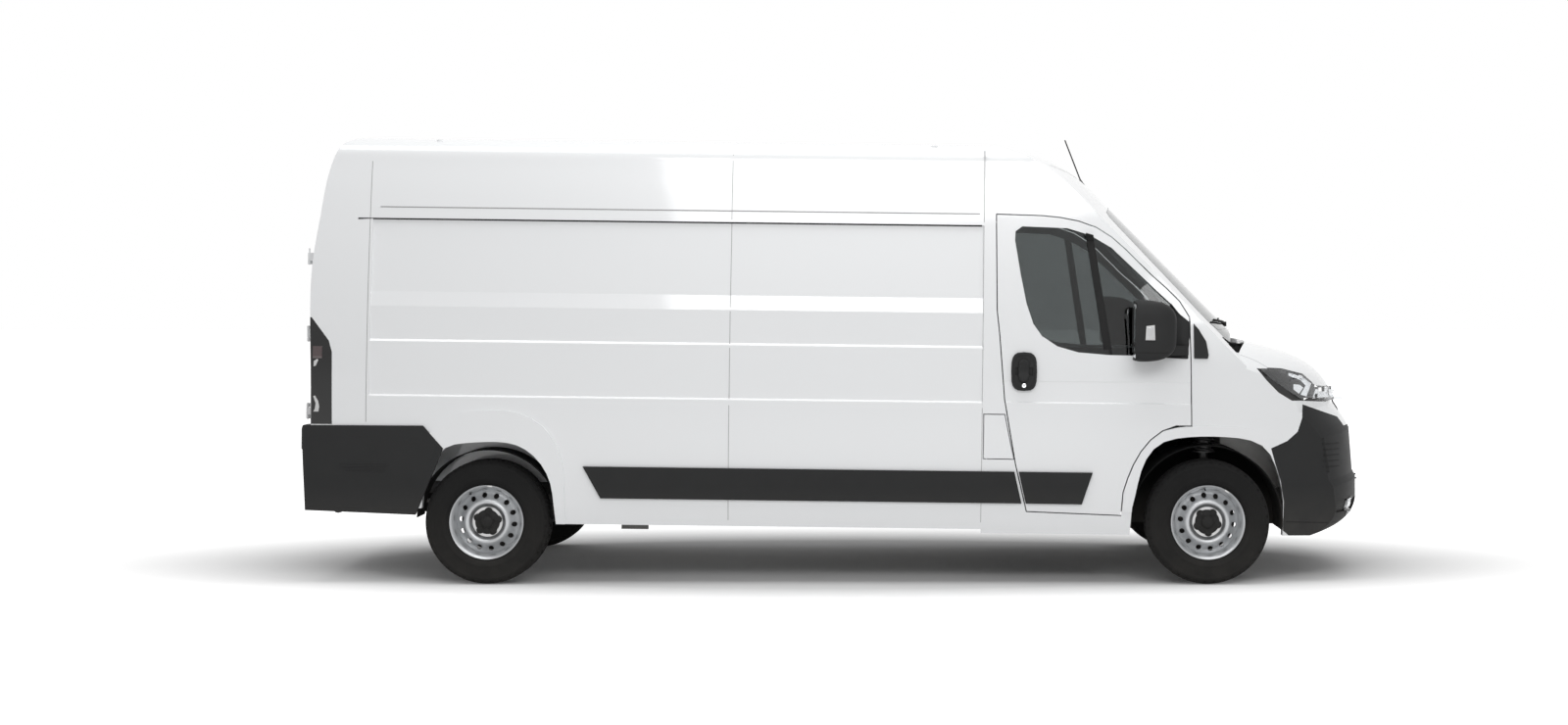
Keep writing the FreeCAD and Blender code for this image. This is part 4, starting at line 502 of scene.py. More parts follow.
class Skin:
    """The outer face of some CAD nodes, for laying trim on it."""

    def __init__(self, *names):
        points = []
        faces = []
        for name in names:
            mesh = parts[name].data
            start = len(points)
            points += [v.co.copy() for v in mesh.vertices]
            faces += [[start + i for i in face.vertices] for face in mesh.polygons]
        self.tree = BVHTree.FromPolygons(points, faces)

    def y_from(self, start, way):
        hit = self.tree.ray_cast(Vector(start), Vector((0.0, way, 0.0)))[0]
        return hit.y if hit is not None else None

    def y_at(self, x, z, side=-1.0):
        return self.y_from((x, side * BESIDE, z), -side)

    def inner_y(self, x, z):
        """The right wall's inner face, seen from the middle of the van."""
        return self.y_from((x, INSIDE, z), -1.0)

    def at_end(self, y, z, end):
        """Place on the front or rear face that a level line at y, z of the body meets."""
        return self.tree.ray_cast(STANCE @ Vector((end * BEYOND, y, z)), FORWARD * -end)[0]


def cross_cut(bm, points, cell):
    """Divide a drawn face into cells, so that it can bend."""
    for axis, values in ((0, [p[0] for p in points]), (2, [p[1] for p in points])):
        low, span = min(values), max(values) - min(values)
        count = max(1, int(span / cell))
        for i in range(1, count):
            place = [0.0, 0.0, 0.0]
            place[axis] = low + span * i / count
            way = [0.0, 0.0, 0.0]
            way[axis] = 1.0
            bmesh.ops.bisect_plane(bm, geom=everything(bm), plane_co=place, plane_no=way)


def draped(bm, y_at, near, side, lift, depth, rim=0.0):
    """Bend a drawn sheet to the face that y_at finds and give it a thickness."""
    bmesh.ops.transform(bm, matrix=STANCE, verts=bm.verts)
    for v in sorted(bm.verts, key=lambda v: v.co.x):
        y = y_at(v.co.x, v.co.z)
        near = y if y is not None else near
        v.co.y = near + side * lift / MM_IN_METRE
    return thicken(bm, depth / MM_IN_METRE, rim / MM_IN_METRE, (0.0, side, 0.0))


def laid(points, skin, lift, depth, rim=0.0, cell=45.0, side=-1.0):
    """Trim plate drawn in the side view, bent to the skin below it and given a thickness."""
    bm = face_of(points)
    cross_cut(bm, points, cell)
    return draped(bm, lambda x, z: skin.y_at(x, z, side), side, side, lift, depth, rim)


def laid_end(points, skin, end, lift, depth, rim=0.0, cell=45.0):
    """Trim plate drawn as (y, z) in the front or rear view and bent to the skin below it."""
    bm = face_of(points)
    cross_cut(bm, points, cell)
    way = FORWARD * end
    near = None
    for v in sorted(bm.verts, key=lambda v: abs(v.co.x)):
        start = STANCE @ Vector((0.0, v.co.x, v.co.z))
        hit = skin.at_end(v.co.x, v.co.z, end)
        if hit is not None:
            near = (hit - start).dot(way)
        v.co = start + way * (near + lift / MM_IN_METRE)
    return thicken(bm, depth / MM_IN_METRE, rim / MM_IN_METRE, way)


def oval(x, z, half_x, half_z, power=1.0, count=33):
    """Points round an ellipse, or a squarer oval for a power under one."""
    points = []
    for i in range(count - 1):
        turn = math.radians(360.0 * i / (count - 1))
        c, s = math.cos(turn), math.sin(turn)
        points.append((x + half_x * math.copysign(abs(c) ** power, c),
                       z + half_z * math.copysign(abs(s) ** power, s)))
    return points


def rect(x0, x1, z0, z1):
    return ((x0, z0), (x1, z0), (x1, z1), (x0, z1))


# Studio
def build_studio():
    """White floor that keeps the shadow, with a painted shadow in an oval round the van where its
    glow is held off; white surroundings, two soft lamps.
    """
    bm = bmesh.new()
    bmesh.ops.create_grid(bm, x_segments=4, y_segments=4, size=60.0)
    floor = placed("studio_floor", bm)
    ground = Paintbox("studio_floor", Roughness=0.9, Specular_IOR_Level=0.1)
    tone = ground.add("MapRange", {"Value": ground.noise(4.0), "To Min": 0.66, "To Max": 0.70})
    ground.feed(tone.outputs["Result"], ground.shader["Base Color"])
    # Painted shadow: the glow that camera and glossy rays see fades out in an oval round the van,
    # so the ground under it stays dark.
    oblong = ground.add("VectorMath", {0: ground.place(), 1: (0.40, 1.0, 1.0)},
                        operation="MULTIPLY")
    reach = ground.add("VectorMath", {0: oblong.outputs["Vector"]}, operation="LENGTH")
    far = ground.add("MapRange", {"Value": reach.outputs["Value"], "From Min": 1.15,
                                  "From Max": 2.3, "To Min": 0.02, "To Max": 1.0})
    glow = ground.math("MULTIPLY", ground.seen(), far.outputs["Result"])
    ground.shader["Emission Color"].default_value = WHITE
    ground.feed(glow, ground.shader["Emission Strength"])
    floor.data.materials.append(ground.material)

    world = bpy.data.worlds.new("studio_air")
    world.use_nodes = True
    scene.world = world
    air = Board(world.node_tree)
    background = air.tree.nodes["Background"].inputs
    level = air.add("MapRange", {"Value": air.seen(), "To Min": 0.46, "To Max": 1.0})
    air.feed(level.outputs["Result"], background["Strength"])
    background["Color"].default_value = WHITE

    for name, place, aim, size, power in (
            ("top_lamp", (0.2, -2.2, 7.5), (0.0, 0.0, 0.6), (9.0, 3.5), 270.0),
            ("side_lamp", (1.5, -9.0, 5.2), (0.0, 0.0, 1.2), (7.0, 2.2), 250.0)):
        lamp = bpy.data.lights.new(name, "AREA")
        lamp.shape = "RECTANGLE"
        lamp.size, lamp.size_y = size
        lamp.energy = power
        stand = bpy.data.objects.new(name, lamp)
        stand.location = place
        way = Vector(aim) - Vector(place)
        stand.rotation_euler = way.to_track_quat("-Z", "Y").to_euler()
        scene.collection.objects.link(stand)
    scene.view_settings.view_transform = "Standard"


# Wheels, drawn in millimetres about their own axle, with the outer face at negative Y
TYRE_STEPS = 120
TYRE_SECTION = ((207, -88), (213, -97), (226, -104), (246, -110), (270, -112.5), (292, -111),
                (312, -107), (326, -101), (336, -94), (343, -84), (346.5, -70), (347.4, -52),
                (339.5, -50.5), (339.5, -43), (347.7, -41.5), (348, -18), (340, -16.5),
                (340, -8), (348, -6.5), (348, 6.5), (340, 8), (340, 16.5), (348, 18),
                (347.7, 41.5), (339.5, 43), (339.5, 50.5), (347.4, 52), (346.5, 70), (343, 84),
                (336, 94), (326, 101), (312, 107), (292, 111), (270, 112.5), (246, 110),
                (226, 104), (213, 97), (207, 88), (200, 84), (200, -84))
BARREL = ((207, -100), (209, -96), (207, -91), (199, -84), (193, -80), (190, -70), (188, -52),
          (184.5, -38), (184.5, -20), (188, 0), (188, 50), (191, 78), (199, 84), (207, 91),
          (209, 96), (207, 100), (200, 96), (193, 86), (186, 78), (182, 50), (182, 0),
          (178, -22), (178, -36), (183, -56), (186, -78), (193, -86), (200, -96))
CAP = ((0.0, -94.0), (14.0, -93.5), (26.0, -91.0), (33.0, -86.0), (35.5, -78.0),
       (62.0, -76.5), (66.0, -74.0), (69.0, -66.0), (69.0, -48.0))
HUBS = {"rear": ((32.4, -62.0), (84.0, -62.0), (84.0, -38.0), (64.0, -34.0), (64.0, 34.0),
                 (32.4, 34.0)),
        "front": ((32.4, -62.0), (84.0, -62.0), (84.0, -38.0), (72.0, 30.0), (122.0, 36.0),
                  (122.0, 58.0), (72.0, 58.0), (34.0, 40.0), (32.4, 34.0))}
BRAKE_COVERS = {"front": ((88.0, 62.0), (160.0, 62.0), (166.0, 52.0), (168.0, 53.0),
                          (162.0, 66.0), (88.0, 66.0)),
                "rear": ((90.0, 42.0), (150.0, 42.0), (165.0, 50.0), (169.0, 62.0),
                         (169.0, 112.0), (90.0, 116.0))}
# Depth of the pressed disc's outer face at a radius: hub face, raised ring, rim slope
DISH = ((60.0, -46.0), (78.0, -47.0), (86.0, -52.0), (97.0, -70.0), (104.0, -78.0),
        (112.0, -81.0), (120.0, -78.5), (130.0, -68.0), (142.0, -55.0), (160.0, -43.0),
        (172.0, -37.5), (182.0, -34.0))
VENTS = 14
VENT_RADIUS = 14.5
VENT_AT = 150.0
VENT_STEPS = 16
VENT_BAND = (132.0, 168.0)
RINGS_IN = (126.0, 120.0, 116.0, 112.0, 108.0, 104.0, 100.0, 97.0, 93.0, 89.0, 86.0, 82.0,
            78.0, 62.0)
RINGS_OUT = (173.0, 178.5)
LOBES = 5
LOBE_AT = 60.0
GROOVE_DEPTH = 6.5
SHOULDER_DEPTH = 3.0
VALVE_AT = 182.0
VALVE_TURN = 2.2
WHEEL_TURNS = {"front": 0.55, "rear": 0.1}
BARREL_STEPS = 112
HUB_STEPS = 60
COVER_STEPS = 72


def make_tyre():
    """Tyre with four ribs, cross grooves, shoulder blocks and raised rings on its walls."""
    bm = turned(TYRE_SECTION, TYRE_STEPS)
    step = FULL_TURN / TYRE_STEPS
    grooves = []
    shoulders = []
    rings = []
    for face in bm.faces:
        middle = face.calc_center_median()
        index = int((math.atan2(middle.z, middle.x) % FULL_TURN) / step)
        radius = math.hypot(middle.x, middle.z)
        if radius > 345.0 and abs(middle.y) < 77.0 and face.normal.y ** 2 < 0.3:
            lag = 1 if middle.y > 0 else 0
            if (index + lag + int(abs(middle.y) / 30.0)) % 3 == 0:
                grooves.append(face)
        if 328.0 < radius < 341.0 and abs(middle.y) > 92.0 and index % 3 == 0:
            shoulders.append(face)
        if 224.0 < radius < 238.0 or 316.0 < radius < 324.0:
            rings.append(face)
    for faces, depth in ((grooves, GROOVE_DEPTH), (shoulders, SHOULDER_DEPTH)):
        for face in bmesh.ops.extrude_discrete_faces(bm, faces=faces)["faces"]:
            bmesh.ops.translate(bm, vec=face.normal * -depth, verts=face.verts)
    bmesh.ops.inset_region(bm, faces=rings, thickness=1.4, depth=1.2, use_even_offset=True)
    return bm


def dish(r):
    """Depth of the pressed disc at a radius, eased from one step to the next."""
    for (r0, y0), (r1, y1) in zip(DISH, DISH[1:]):
        if r <= r1:
            share = max(0.0, (r - r0) / (r1 - r0))
            share = share * share * (3.0 - 2.0 * share)
            return y0 + (y1 - y0) * share
    return DISH[-1][1]


def disc_face():
    """Pressed wheel disc: rings of faces, with a collared round vent in each wedge."""
    bm = bmesh.new()

    def point(radius, turn):
        return bm.verts.new((radius * math.cos(turn), 0.0, radius * math.sin(turn)))

    inner, outer = VENT_BAND
    hole = []
    frame = []
    for i in range(VENT_STEPS):
        turn = FULL_TURN * i / VENT_STEPS
        c, s = math.cos(turn), math.sin(turn)
        hole.append(bm.verts.new((VENT_AT + VENT_RADIUS * c, 0.0, VENT_RADIUS * s)))
        big = max(abs(c), abs(s))
        frame.append(point(VENT_AT + (outer - inner) / 2.0 * c / big,
                           math.pi / VENTS * s / big))
    for i in range(VENT_STEPS):
        j = (i + 1) % VENT_STEPS
        bm.faces.new((hole[i], hole[j], frame[j], frame[i]))
    for edge, radii in ((inner, RINGS_IN), (outer, RINGS_OUT)):
        row = [v for v in frame if abs(math.hypot(v.co.x, v.co.z) - edge) < 0.01]
        row.sort(key=lambda v: v.co.z)
        last = row
        for radius in radii:
            fresh = [point(radius, math.atan2(v.co.z, v.co.x)) for v in row]
            for k in range(len(row) - 1):
                bm.faces.new((last[k], last[k + 1], fresh[k + 1], fresh[k]))
            last = fresh
    bmesh.ops.spin(bm, geom=everything(bm), cent=(0, 0, 0), axis=(0, 1, 0), angle=FULL_TURN,
                   steps=VENTS, use_duplicate=True)
    bmesh.ops.remove_doubles(bm, verts=bm.verts, dist=0.05)
    for v in bm.verts:
        v.co.y = dish(math.hypot(v.co.x, v.co.z))
    bmesh.ops.recalc_face_normals(bm, faces=bm.faces)
    if sum(face.normal.y for face in bm.faces) > 0:
        bmesh.ops.reverse_faces(bm, faces=bm.faces)
    bmesh.ops.solidify(bm, geom=everything(bm), thickness=4.0)
    return bm


def hub_cover():
    """Black cap: a flat ring, round lobes over the bolts and a domed middle."""
    whole = [turned(CAP, HUB_STEPS, close=False)]
    for i in range(LOBES):
        turn = FULL_TURN * i / LOBES + math.pi / 2.0
        x, z = LOBE_AT * math.cos(turn), LOBE_AT * math.sin(turn)
        whole.append(knob(21.0, -48.0, -80.0, 3.5, x, z, sides=28))
        whole.append(knob(11.0, -79.0, -83.0, 1.5, x, z, sides=6))
    return joined(whole)


def tyre_valve():
    """Valve with its cap, beside the disc."""
    return knob(4.5, -70.0, -92.0, 1.2, VALVE_AT * math.cos(VALVE_TURN),
                VALVE_AT * math.sin(VALVE_TURN))


def balance_weight():
    """Weight clipped on the lip of the barrel."""
    return slab((-14.0, 14.0), (-104.0, -96.0), (199.0, 207.0), 1.5)


def add_wheels():
    """Tyre, wheel and brake pieces of each corner, turned about their axle."""
    for axle in ("front", "rear"):
        for side in ("right", "left"):
            node = axle + "_" + side
            wheel = "wheel_" + node
            low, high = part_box("tyre_" + node)
            turn = Matrix.Rotation(WHEEL_TURNS[axle], 4, "Y")
            scale = Matrix.Scale(1.0 / MM_IN_METRE, 4)
            place = Matrix.Translation((low + high) / 2.0) @ scale @ turn
            carrier = "knuckle_" + side if axle == "front" else "root"
            for name, bm, finish, body, sharp in (
                    ("tread_tyre", make_tyre(), RUBBER, wheel, WHEEL_SHARP),
                    ("steel_barrel", turned(BARREL, BARREL_STEPS), STEEL, wheel, WHEEL_SHARP),
                    ("vented_disc", disc_face(), STEEL, wheel, WHEEL_SHARP),
                    ("hub_cover", hub_cover(), SOFT_BLACK, wheel, WHEEL_SHARP),
                    ("tyre_valve", tyre_valve(), SOFT_BLACK, wheel, WHEEL_SHARP),
                    ("balance_weight", balance_weight(), ALLOY, wheel, WHEEL_SHARP),
                    ("hub_and_brake", turned(HUBS[axle], HUB_STEPS), DISC, wheel, SHARP),
                    ("brake_cover", turned(BRAKE_COVERS[axle], COVER_STEPS), CAST, carrier,
                     SHARP)):
                if side == "left":
                    other = flipped(bm)
                    bm.free()
                    bm = other
                bmesh.ops.transform(bm, matrix=place, verts=bm.verts)
                make_piece(name + "_" + node, bm, finish, body, sharp=sharp)
            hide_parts("tyre_" + node)
            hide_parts("rim_" + node)


# Trim that lies on the body sides
WINDOW = ((958, 1940), (960, 1989), (998, 2017), (1250, 2010), (1378, 1973), (1500, 1903),
          (1638, 1775), (1752, 1668), (1838, 1590), (1880, 1530), (1890, 1300), (1493, 1303),
          (1317, 1316), (1200, 1348), (1113, 1405), (1064, 1472), (1024, 1588), (992, 1744))
MIRROR_PLATE = ((1672, 1296), (1730, 1400), (1790, 1522), (1836, 1594), (1884, 1536),
                (1936, 1494), (1947, 1400), (1949, 1286))
DIVIDER = ((1352, 1985), (1396, 1974), (1510, 1300), (1464, 1303))


def add_door_trim():
    skin = Skin("front_door_right", "door_glass_right")
    black_band = draped(ring_of(WINDOW, 17.0), skin.y_at, -1.0, -1.0, -1.0, 3.2, 1.0)
    both_sides("window_seal", black_band, SOFT_BLACK, DOORS)
    bar = laid(DIVIDER, Skin("door_glass_right"), 0.2, 9.0, 2.0)
    both_sides("window_divider", bar, SOFT_BLACK, DOORS)
    foot = laid(MIRROR_PLATE, skin, -3.0, 14.0, 3.0, 30.0)
    both_sides("mirror_foot_plate", foot, TRIM, DOORS)


def add_mirrors():
    skin = Skin("mirror_right")
    panes = [laid_end(rect(-1228.0, -1084.0, low, high), skin, REAR, -1.6, 2.0, 0.6, 40.0)
             for low, high in ((1362.0, 1590.0), (1296.0, 1352.0))]
    both_sides("mirror_panes", joined(panes), MIRROR, DOORS)
    for name, points, lift, depth, rim, cell, finish in (
            ("mirror_repeater", ((1668, 1395), (1672, 1472), (1718, 1478), (1722, 1395)),
             -1.0, 6.0, 1.6, 16.0, WHITE_PLASTIC),
            ("repeater_lens", ((1676, 1403), (1679, 1466), (1711, 1470), (1714, 1403)),
             4.6, 2.2, 0.8, 16.0, CLEAR),
            ("mirror_joint", rect(1622, 1846, 1322, 1328), -1.2, 1.6, 0.0, 14.0, SOFT_BLACK)):
        both_sides(name, laid(points, skin, lift, depth, rim, cell), finish, DOORS)


def add_handles():
    skin = Skin("front_door_right", "door_trim_right")
    outline = oval(1015, 1206, 58, 92, 0.62, 29)
    rim = draped(ring_of(outline, 7.0), skin.y_at, -1.0, -1.0, 0.2, 2.6, 0.8)
    both_sides("handle_rim", rim, GLOSS, DOORS)
    for name, points, lift, depth, rim, cell, finish in (
            ("pull_grip", oval(1012, 1212, 30, 62, 0.6, 25), 9.0, 11.0, 4.0, 22.0, TRIM),
            ("door_lock", oval(1015, 1128, 12, 12, 1.0, 21), 0.2, 3.4, 1.0, 30.0, BRIGHT),
            ("lock_slot", rect(1013.5, 1016.5, 1122, 1134), 3.2, 0.8, 0.0, 30.0, SOFT_BLACK)):
        both_sides(name, laid(points, skin, lift, depth, rim, cell), finish, DOORS)


def add_side_lines():
    """Painted shadow under the roof's step, seams between the panels and the gutter line."""
    skin = Skin("side_panel_right_front", "side_panel_right_rear", "rear_frame", "cab_frame",
                "roof_rear")
    # Painted shadow: a black strip where the roof's step overhangs the side panel below.
    black_band = laid(rect(-2722, 772, 2013, 2021), skin, -1.5, 4.5, 1.0, 90.0)
    both_sides("roof_step_painted_shadow", black_band, SOFT_BLACK)
    seams = ((-2655.0, 880.0, 2340.0), (-630.0, 352.0, 2440.0), (784.0, 356.0, 2440.0))
    for index, (x, low, high) in enumerate(seams):
        line = laid(rect(x - 1.6, x + 1.6, low, high), skin, -0.6, 1.4, 0.0, 40.0)
        both_sides("panel_seam_%d" % index, line, SEALER_AND_CREASE_SHADE)
    gutter = laid(rect(-2600.0, 760.0, 2081, 2087), skin, -0.4, 1.6, 0.5, 90.0)
    both_sides("gutter_line_0", gutter, SEALER_AND_CREASE_SHADE)


# Lamps
HEADLAMP = ((2330, 1239), (2468, 1234), (2604, 1201), (2681, 1136), (2760, 1126),
            (2880, 1122), (2880, 1048), (2620, 1046), (2560, 1076), (2480, 1126), (2400, 1180))
LAMP_MASK = ((2362, 1226), (2466, 1223), (2560, 1204), (2500, 1150), (2420, 1186))
# Outline, thickness, rim and cell of each bright part
REFLECTORS = ((((2508, 1212), (2592, 1192), (2652, 1148), (2610, 1080), (2572, 1092),
                (2610, 1140), (2580, 1170), (2506, 1196)), 3.2, 1.2, 20.0),
              (((2532, 1150), (2572, 1146), (2594, 1128), (2564, 1096), (2530, 1120)),
               4.4, 1.6, 16.0),
              (((2676, 1118), (2752, 1110), (2830, 1106), (2830, 1066), (2650, 1068)),
               3.4, 1.2, 20.0))
# Plates on the lamps' sides. The red one is painted shade over the side of the red lens.
TAIL_WRAPS = (("tail_red_painted_shade", RED_LENS_PAINTED_SHADE, rect(-2956, -2904, 1232, 1300)),
              # Painted highlight: a white patch on the side of the red lens.
              ("tail_painted_highlight", WHITE_PLASTIC,
               ((-2950, 1186), (-2938, 1190), (-2924, 1222), (-2930, 1228), (-2950, 1216))),
              ("tail_crescent", WHITE_PLASTIC,
               ((-2948, 934), (-2920, 934), (-2916, 962), (-2922, 994), (-2940, 1024),
                (-2950, 1020), (-2936, 980), (-2940, 950))))
TAIL_LENSES = (("tail_lens_red", RED_LENS, ((1184, 1330), (884, 968))),
               ("tail_lens_amber", AMBER_LENS, ((1072, 1172),)),
               ("tail_lens_clear", WHITE_PLASTIC, ((980, 1060),)))


def add_headlamps():
    skin = Skin("headlamps")
    both_sides("lamp_front_mask", laid(LAMP_MASK, skin, SIT, 2.4, 0.8, 30.0), GLOSS)
    bright = [laid(points, skin, SIT, depth, rim, cell)
              for points, depth, rim, cell in REFLECTORS]
    both_sides("lamp_reflectors", joined(bright), BRIGHT)
    both_sides("headlamp_lens", laid(HEADLAMP, skin, 6.0, 2.5, 1.0, 26.0), CLEAR)


def add_tail_lamps():
    skin = Skin("tail_lamps")
    for name, finish, zone in TAIL_WRAPS:
        both_sides(name, laid(zone, skin, -1.2, 2.6, 1.0, 12.0), finish)
    for name, finish, zones in TAIL_LENSES:
        lens = [laid_end(rect(-1002, -930, low, high), skin, REAR, -2.5, 4.0, 1.4, 16.0)
                for low, high in zones]
        both_sides(name, joined(lens), finish)


def add_left_side():
    """Pull handle of the sliding door and the cover of its middle rail."""
    door = Skin("sliding_door")
    panel = Skin("side_panel_left_rear")
    for name, skin, points, lift, depth, rim, cell, finish in (
            ("sliding_handle_plate", door, oval(690, 1206, 60, 94, 0.62), SIT, 9.0, 3.0, 24.0,
             TRIM),
            ("sliding_handle_grip", door, oval(690, 1212, 28, 60, 0.6), 9.1, 12.0, 4.0, 22.0,
             GLOSS),
            ("sliding_rail_cover", panel, rect(-2560, -650, 1176, 1204), SIT, 7.0, 2.0, 70.0,
             TRIM),
            ("sliding_rail_slot", panel, rect(-2540, -664, 1186, 1193), 7.2, 0.8, 0.0, 70.0,
             SOFT_BLACK)):
        make_piece(name, laid(points, skin, lift, depth, rim, cell, side=1.0), finish)


DOOR_CARD = ((960, 1286), (940, 1040), (1012, 600), (1068, 486), (1540, 474), (1576, 640),
             (1690, 826), (1890, 904), (1890, 1284))
DOOR_INSIDE = -0.95
ARMREST = ((1060, 1060), (1560, 1080), (1640, 1040), (1600, 1000), (1080, 990))
DOOR_POCKET = ((1070, 640), (1480, 640), (1510, 760), (1090, 760))


def add_door_cards():
    """Lining, armrest and pocket on the inner face of each front door."""
    skin = Skin("front_door_right")
    for name, points, lift, depth, rim in (("door_card", DOOR_CARD, SIT, 7.0, 3.0),
                                           ("door_armrest", ARMREST, 7.2, 42.0, 12.0),
                                           ("door_pocket", DOOR_POCKET, 7.2, 30.0, 10.0)):
        bm = face_of(points)
        cross_cut(bm, points, 60.0)
        lining = draped(bm, skin.inner_y, DOOR_INSIDE, 1.0, lift, depth, rim)
        both_sides(name, lining, CABIN, DOORS)


# Front end
SCREEN_EDGE = ((690, 2156), (748, 2128), (853, 1622), (866, 1480), (820, 1449))
SCREEN_MIDDLE = 1800.0
BORDER_WIDTH = 46.0
BORDER_INSET = 4.0
WIPERS = (((-120.0, 1466.0), (-750.0, 1494.0)), ((560.0, 1466.0), (-40.0, 1488.0)))
WIPER_STEPS = 8
ARM_OFF_GLASS = Vector((9.0, 0.0, 10.0))
BLADE_BELOW_ARM = Vector((5.0, 0.0, 5.0))
SPINDLE_OFF_GLASS = Vector((12.0, 0.0, 2.0))
FOG_LAMP = (("fog_lamp_bezel", 56.0, SIT, 5.0, 2.0, GLOSS),
            ("fog_lamp_bowl", 44.0, 5.4, 2.0, 0.8, BRIGHT),
            ("fog_lamp_lens", 46.0, 7.6, 3.0, 1.4, CLEAR))


def add_screen_trim():
    """Black border on the windscreen; points just off the glass move in until they meet it."""
    skin = Skin("windscreen")
    half = [(y - BORDER_INSET, z) for y, z in SCREEN_EDGE]
    outline = half + [(-y, z) for y, z in reversed(half)]
    bm = ring_of(outline, BORDER_WIDTH)
    cross_cut(bm, outline, 60.0)
    for v in bm.verts:
        y, z = v.co.x, v.co.z
        hit = skin.at_end(y, z, FRONT)
        shrink = 1.0
        while hit is None and shrink > 0.8:
            shrink -= 0.005
            inward = SCREEN_MIDDLE + (z - SCREEN_MIDDLE) * shrink
            hit = skin.at_end(y * shrink, inward, FRONT)
        v.co = hit + FORWARD * 0.0004
    thicken(bm, 0.0012, 0.0, FORWARD)
    make_piece("screen_border", bm, SOFT_BLACK)


def add_wipers():
    skin = Skin("windscreen")
    for index, (pivot, tip) in enumerate(WIPERS):
        line = []
        for i in range(WIPER_STEPS + 1):
            y, z = [a + (b - a) * i / WIPER_STEPS for a, b in zip(pivot, tip)]
            line.append(LEVEL @ skin.at_end(y, z, FRONT) + ARM_OFF_GLASS)
        tube("wiper_arm_%d" % index, line, 5.0, SOFT_BLACK)
        blade = [point - BLADE_BELOW_ARM for point in line[2:]]
        tube("wiper_blade_%d" % index, blade, 4.2, RUBBER)
        foot = LEVEL @ skin.at_end(pivot[0], pivot[1], FRONT) + SPINDLE_OFF_GLASS
        upright = Matrix.Translation(foot) @ Matrix.Rotation(math.radians(90.0), 4, "X")
        boss = knob(16.0, -14.0, 14.0, 4.0)
        bmesh.ops.transform(boss, matrix=upright, verts=boss.verts)
        make_piece("wiper_spindle_%d" % index, boss, SOFT_BLACK, drawn=True)


def add_front_details():
    bumper = Skin("front_bumper")
    slats = [laid_end(rect(-452, 452, z, z + 9.0), bumper, FRONT, SIT, 9.0, 2.0, 60.0)
             for z in (582.0, 606.0, 630.0, 654.0)]
    make_piece("intake_slats", joined(slats), SOFT_BLACK)
    bars = Skin("grille")
    fins = [laid_end(rect(y, y + 7.0, 994.0, 1100.0), bars, FRONT, -3.0, 6.0, 1.0, 30.0)
            for y in range(-500, 491, 55)]
    make_piece("grille_fins", joined(fins), TRIM)
    for name, radius, lift, depth, rim, finish in FOG_LAMP:
        disc = laid_end(oval(-720, 452, radius, radius), bumper, FRONT, lift, depth, rim, 22.0)
        both_sides(name, disc, finish)
    ribs = [laid(((2704, z), (2816, z), (2816, z + 5.0), (2706, z + 5.0)), bumper, 0.2, 4.0,
                 1.0, 20.0) for z in (684.0, 716.0, 748.0, 780.0, 812.0)]
    both_sides("bumper_corner_ribs", joined(ribs), SOFT_BLACK)
    lip = laid(((2500, 372), (2500, 377), (2860, 369), (2860, 364)), bumper, -0.5, 1.4, 0.4,
               22.0)
    both_sides("bumper_lower_line", lip, SOFT_BLACK)


# Rear end
def add_rear_details():
    doors = Skin("rear_door_left", "rear_door_right")
    lamp = laid_end(rect(-95, -8, 2286, 2316), doors, REAR, SIT, 9.0, 3.0, 20.0)
    make_piece("high_brake_lamp", lamp, RED_LENS, "rear_door_right")
    light = laid_end(rect(-190, -110, 1168, 1186), doors, REAR, SIT, 12.0, 3.0, 20.0)
    make_piece("plate_lamp", light, WHITE_PLASTIC, "rear_door_right")
    # Painted shade: grey lines on the rear doors for the shade along their pressed creases.
    for z in (985, 1620):
        line = laid_end(rect(-780, -60, z, z + 4.0), doors, REAR, -0.3, 1.5, 0.4, 60.0)
        both_sides("pressing_line_%d" % z, line, SEALER_AND_CREASE_SHADE, REAR_DOORS)
    bumper = Skin("rear_bumper")
    reflector = laid_end(rect(-830, -740, 462, 496), bumper, REAR, SIT, 4.0, 1.6, 20.0)
    both_sides("rear_reflector", reflector, RED_LENS)
    ribs = [laid(rect(-2800 + 14 * i, -2520 - 14 * i, 640 - 18 * i, 645 - 18 * i), bumper,
                 -0.5, 2.6, 0.8, 40.0) for i in range(3)]
    both_sides("bumper_side_ribs", joined(ribs), TRIM)


# Inside the cab
CLOTH_GRID = 0.008
CLOTH_PRESSURE = 4.0
CLOTH_FRAMES = 20
SWELL = 0.008
PAD_SWELL = 0.006
CUSHION = ((868, 800), (1350, 800), (1366, 846), (1334, 892), (876, 868))
SEAT_BACK = ((872, 872), (968, 892), (882, 1440), (806, 1478), (762, 1452), (758, 1400))
HEAD_PAD = ((778, 1520), (842, 1512), (832, 1668), (800, 1686), (764, 1660))
PAD_GAP = 9.0
HEAD_PAD_HALF = 116.0
HEAD_POSTS = {"out": -62.0, "in": 62.0}
SEAT_FOOT_X = 1290.0
PLINTH_TOP = 800.6
PLINTH_GAP = 34.0


def baked(piece, name):
    """The piece's mesh with its modifiers applied."""
    graph = bpy.context.evaluated_depsgraph_get()
    return bpy.data.meshes.new_from_object(piece.evaluated_get(graph), depsgraph=graph,
                                           preserve_all_data_layers=False)


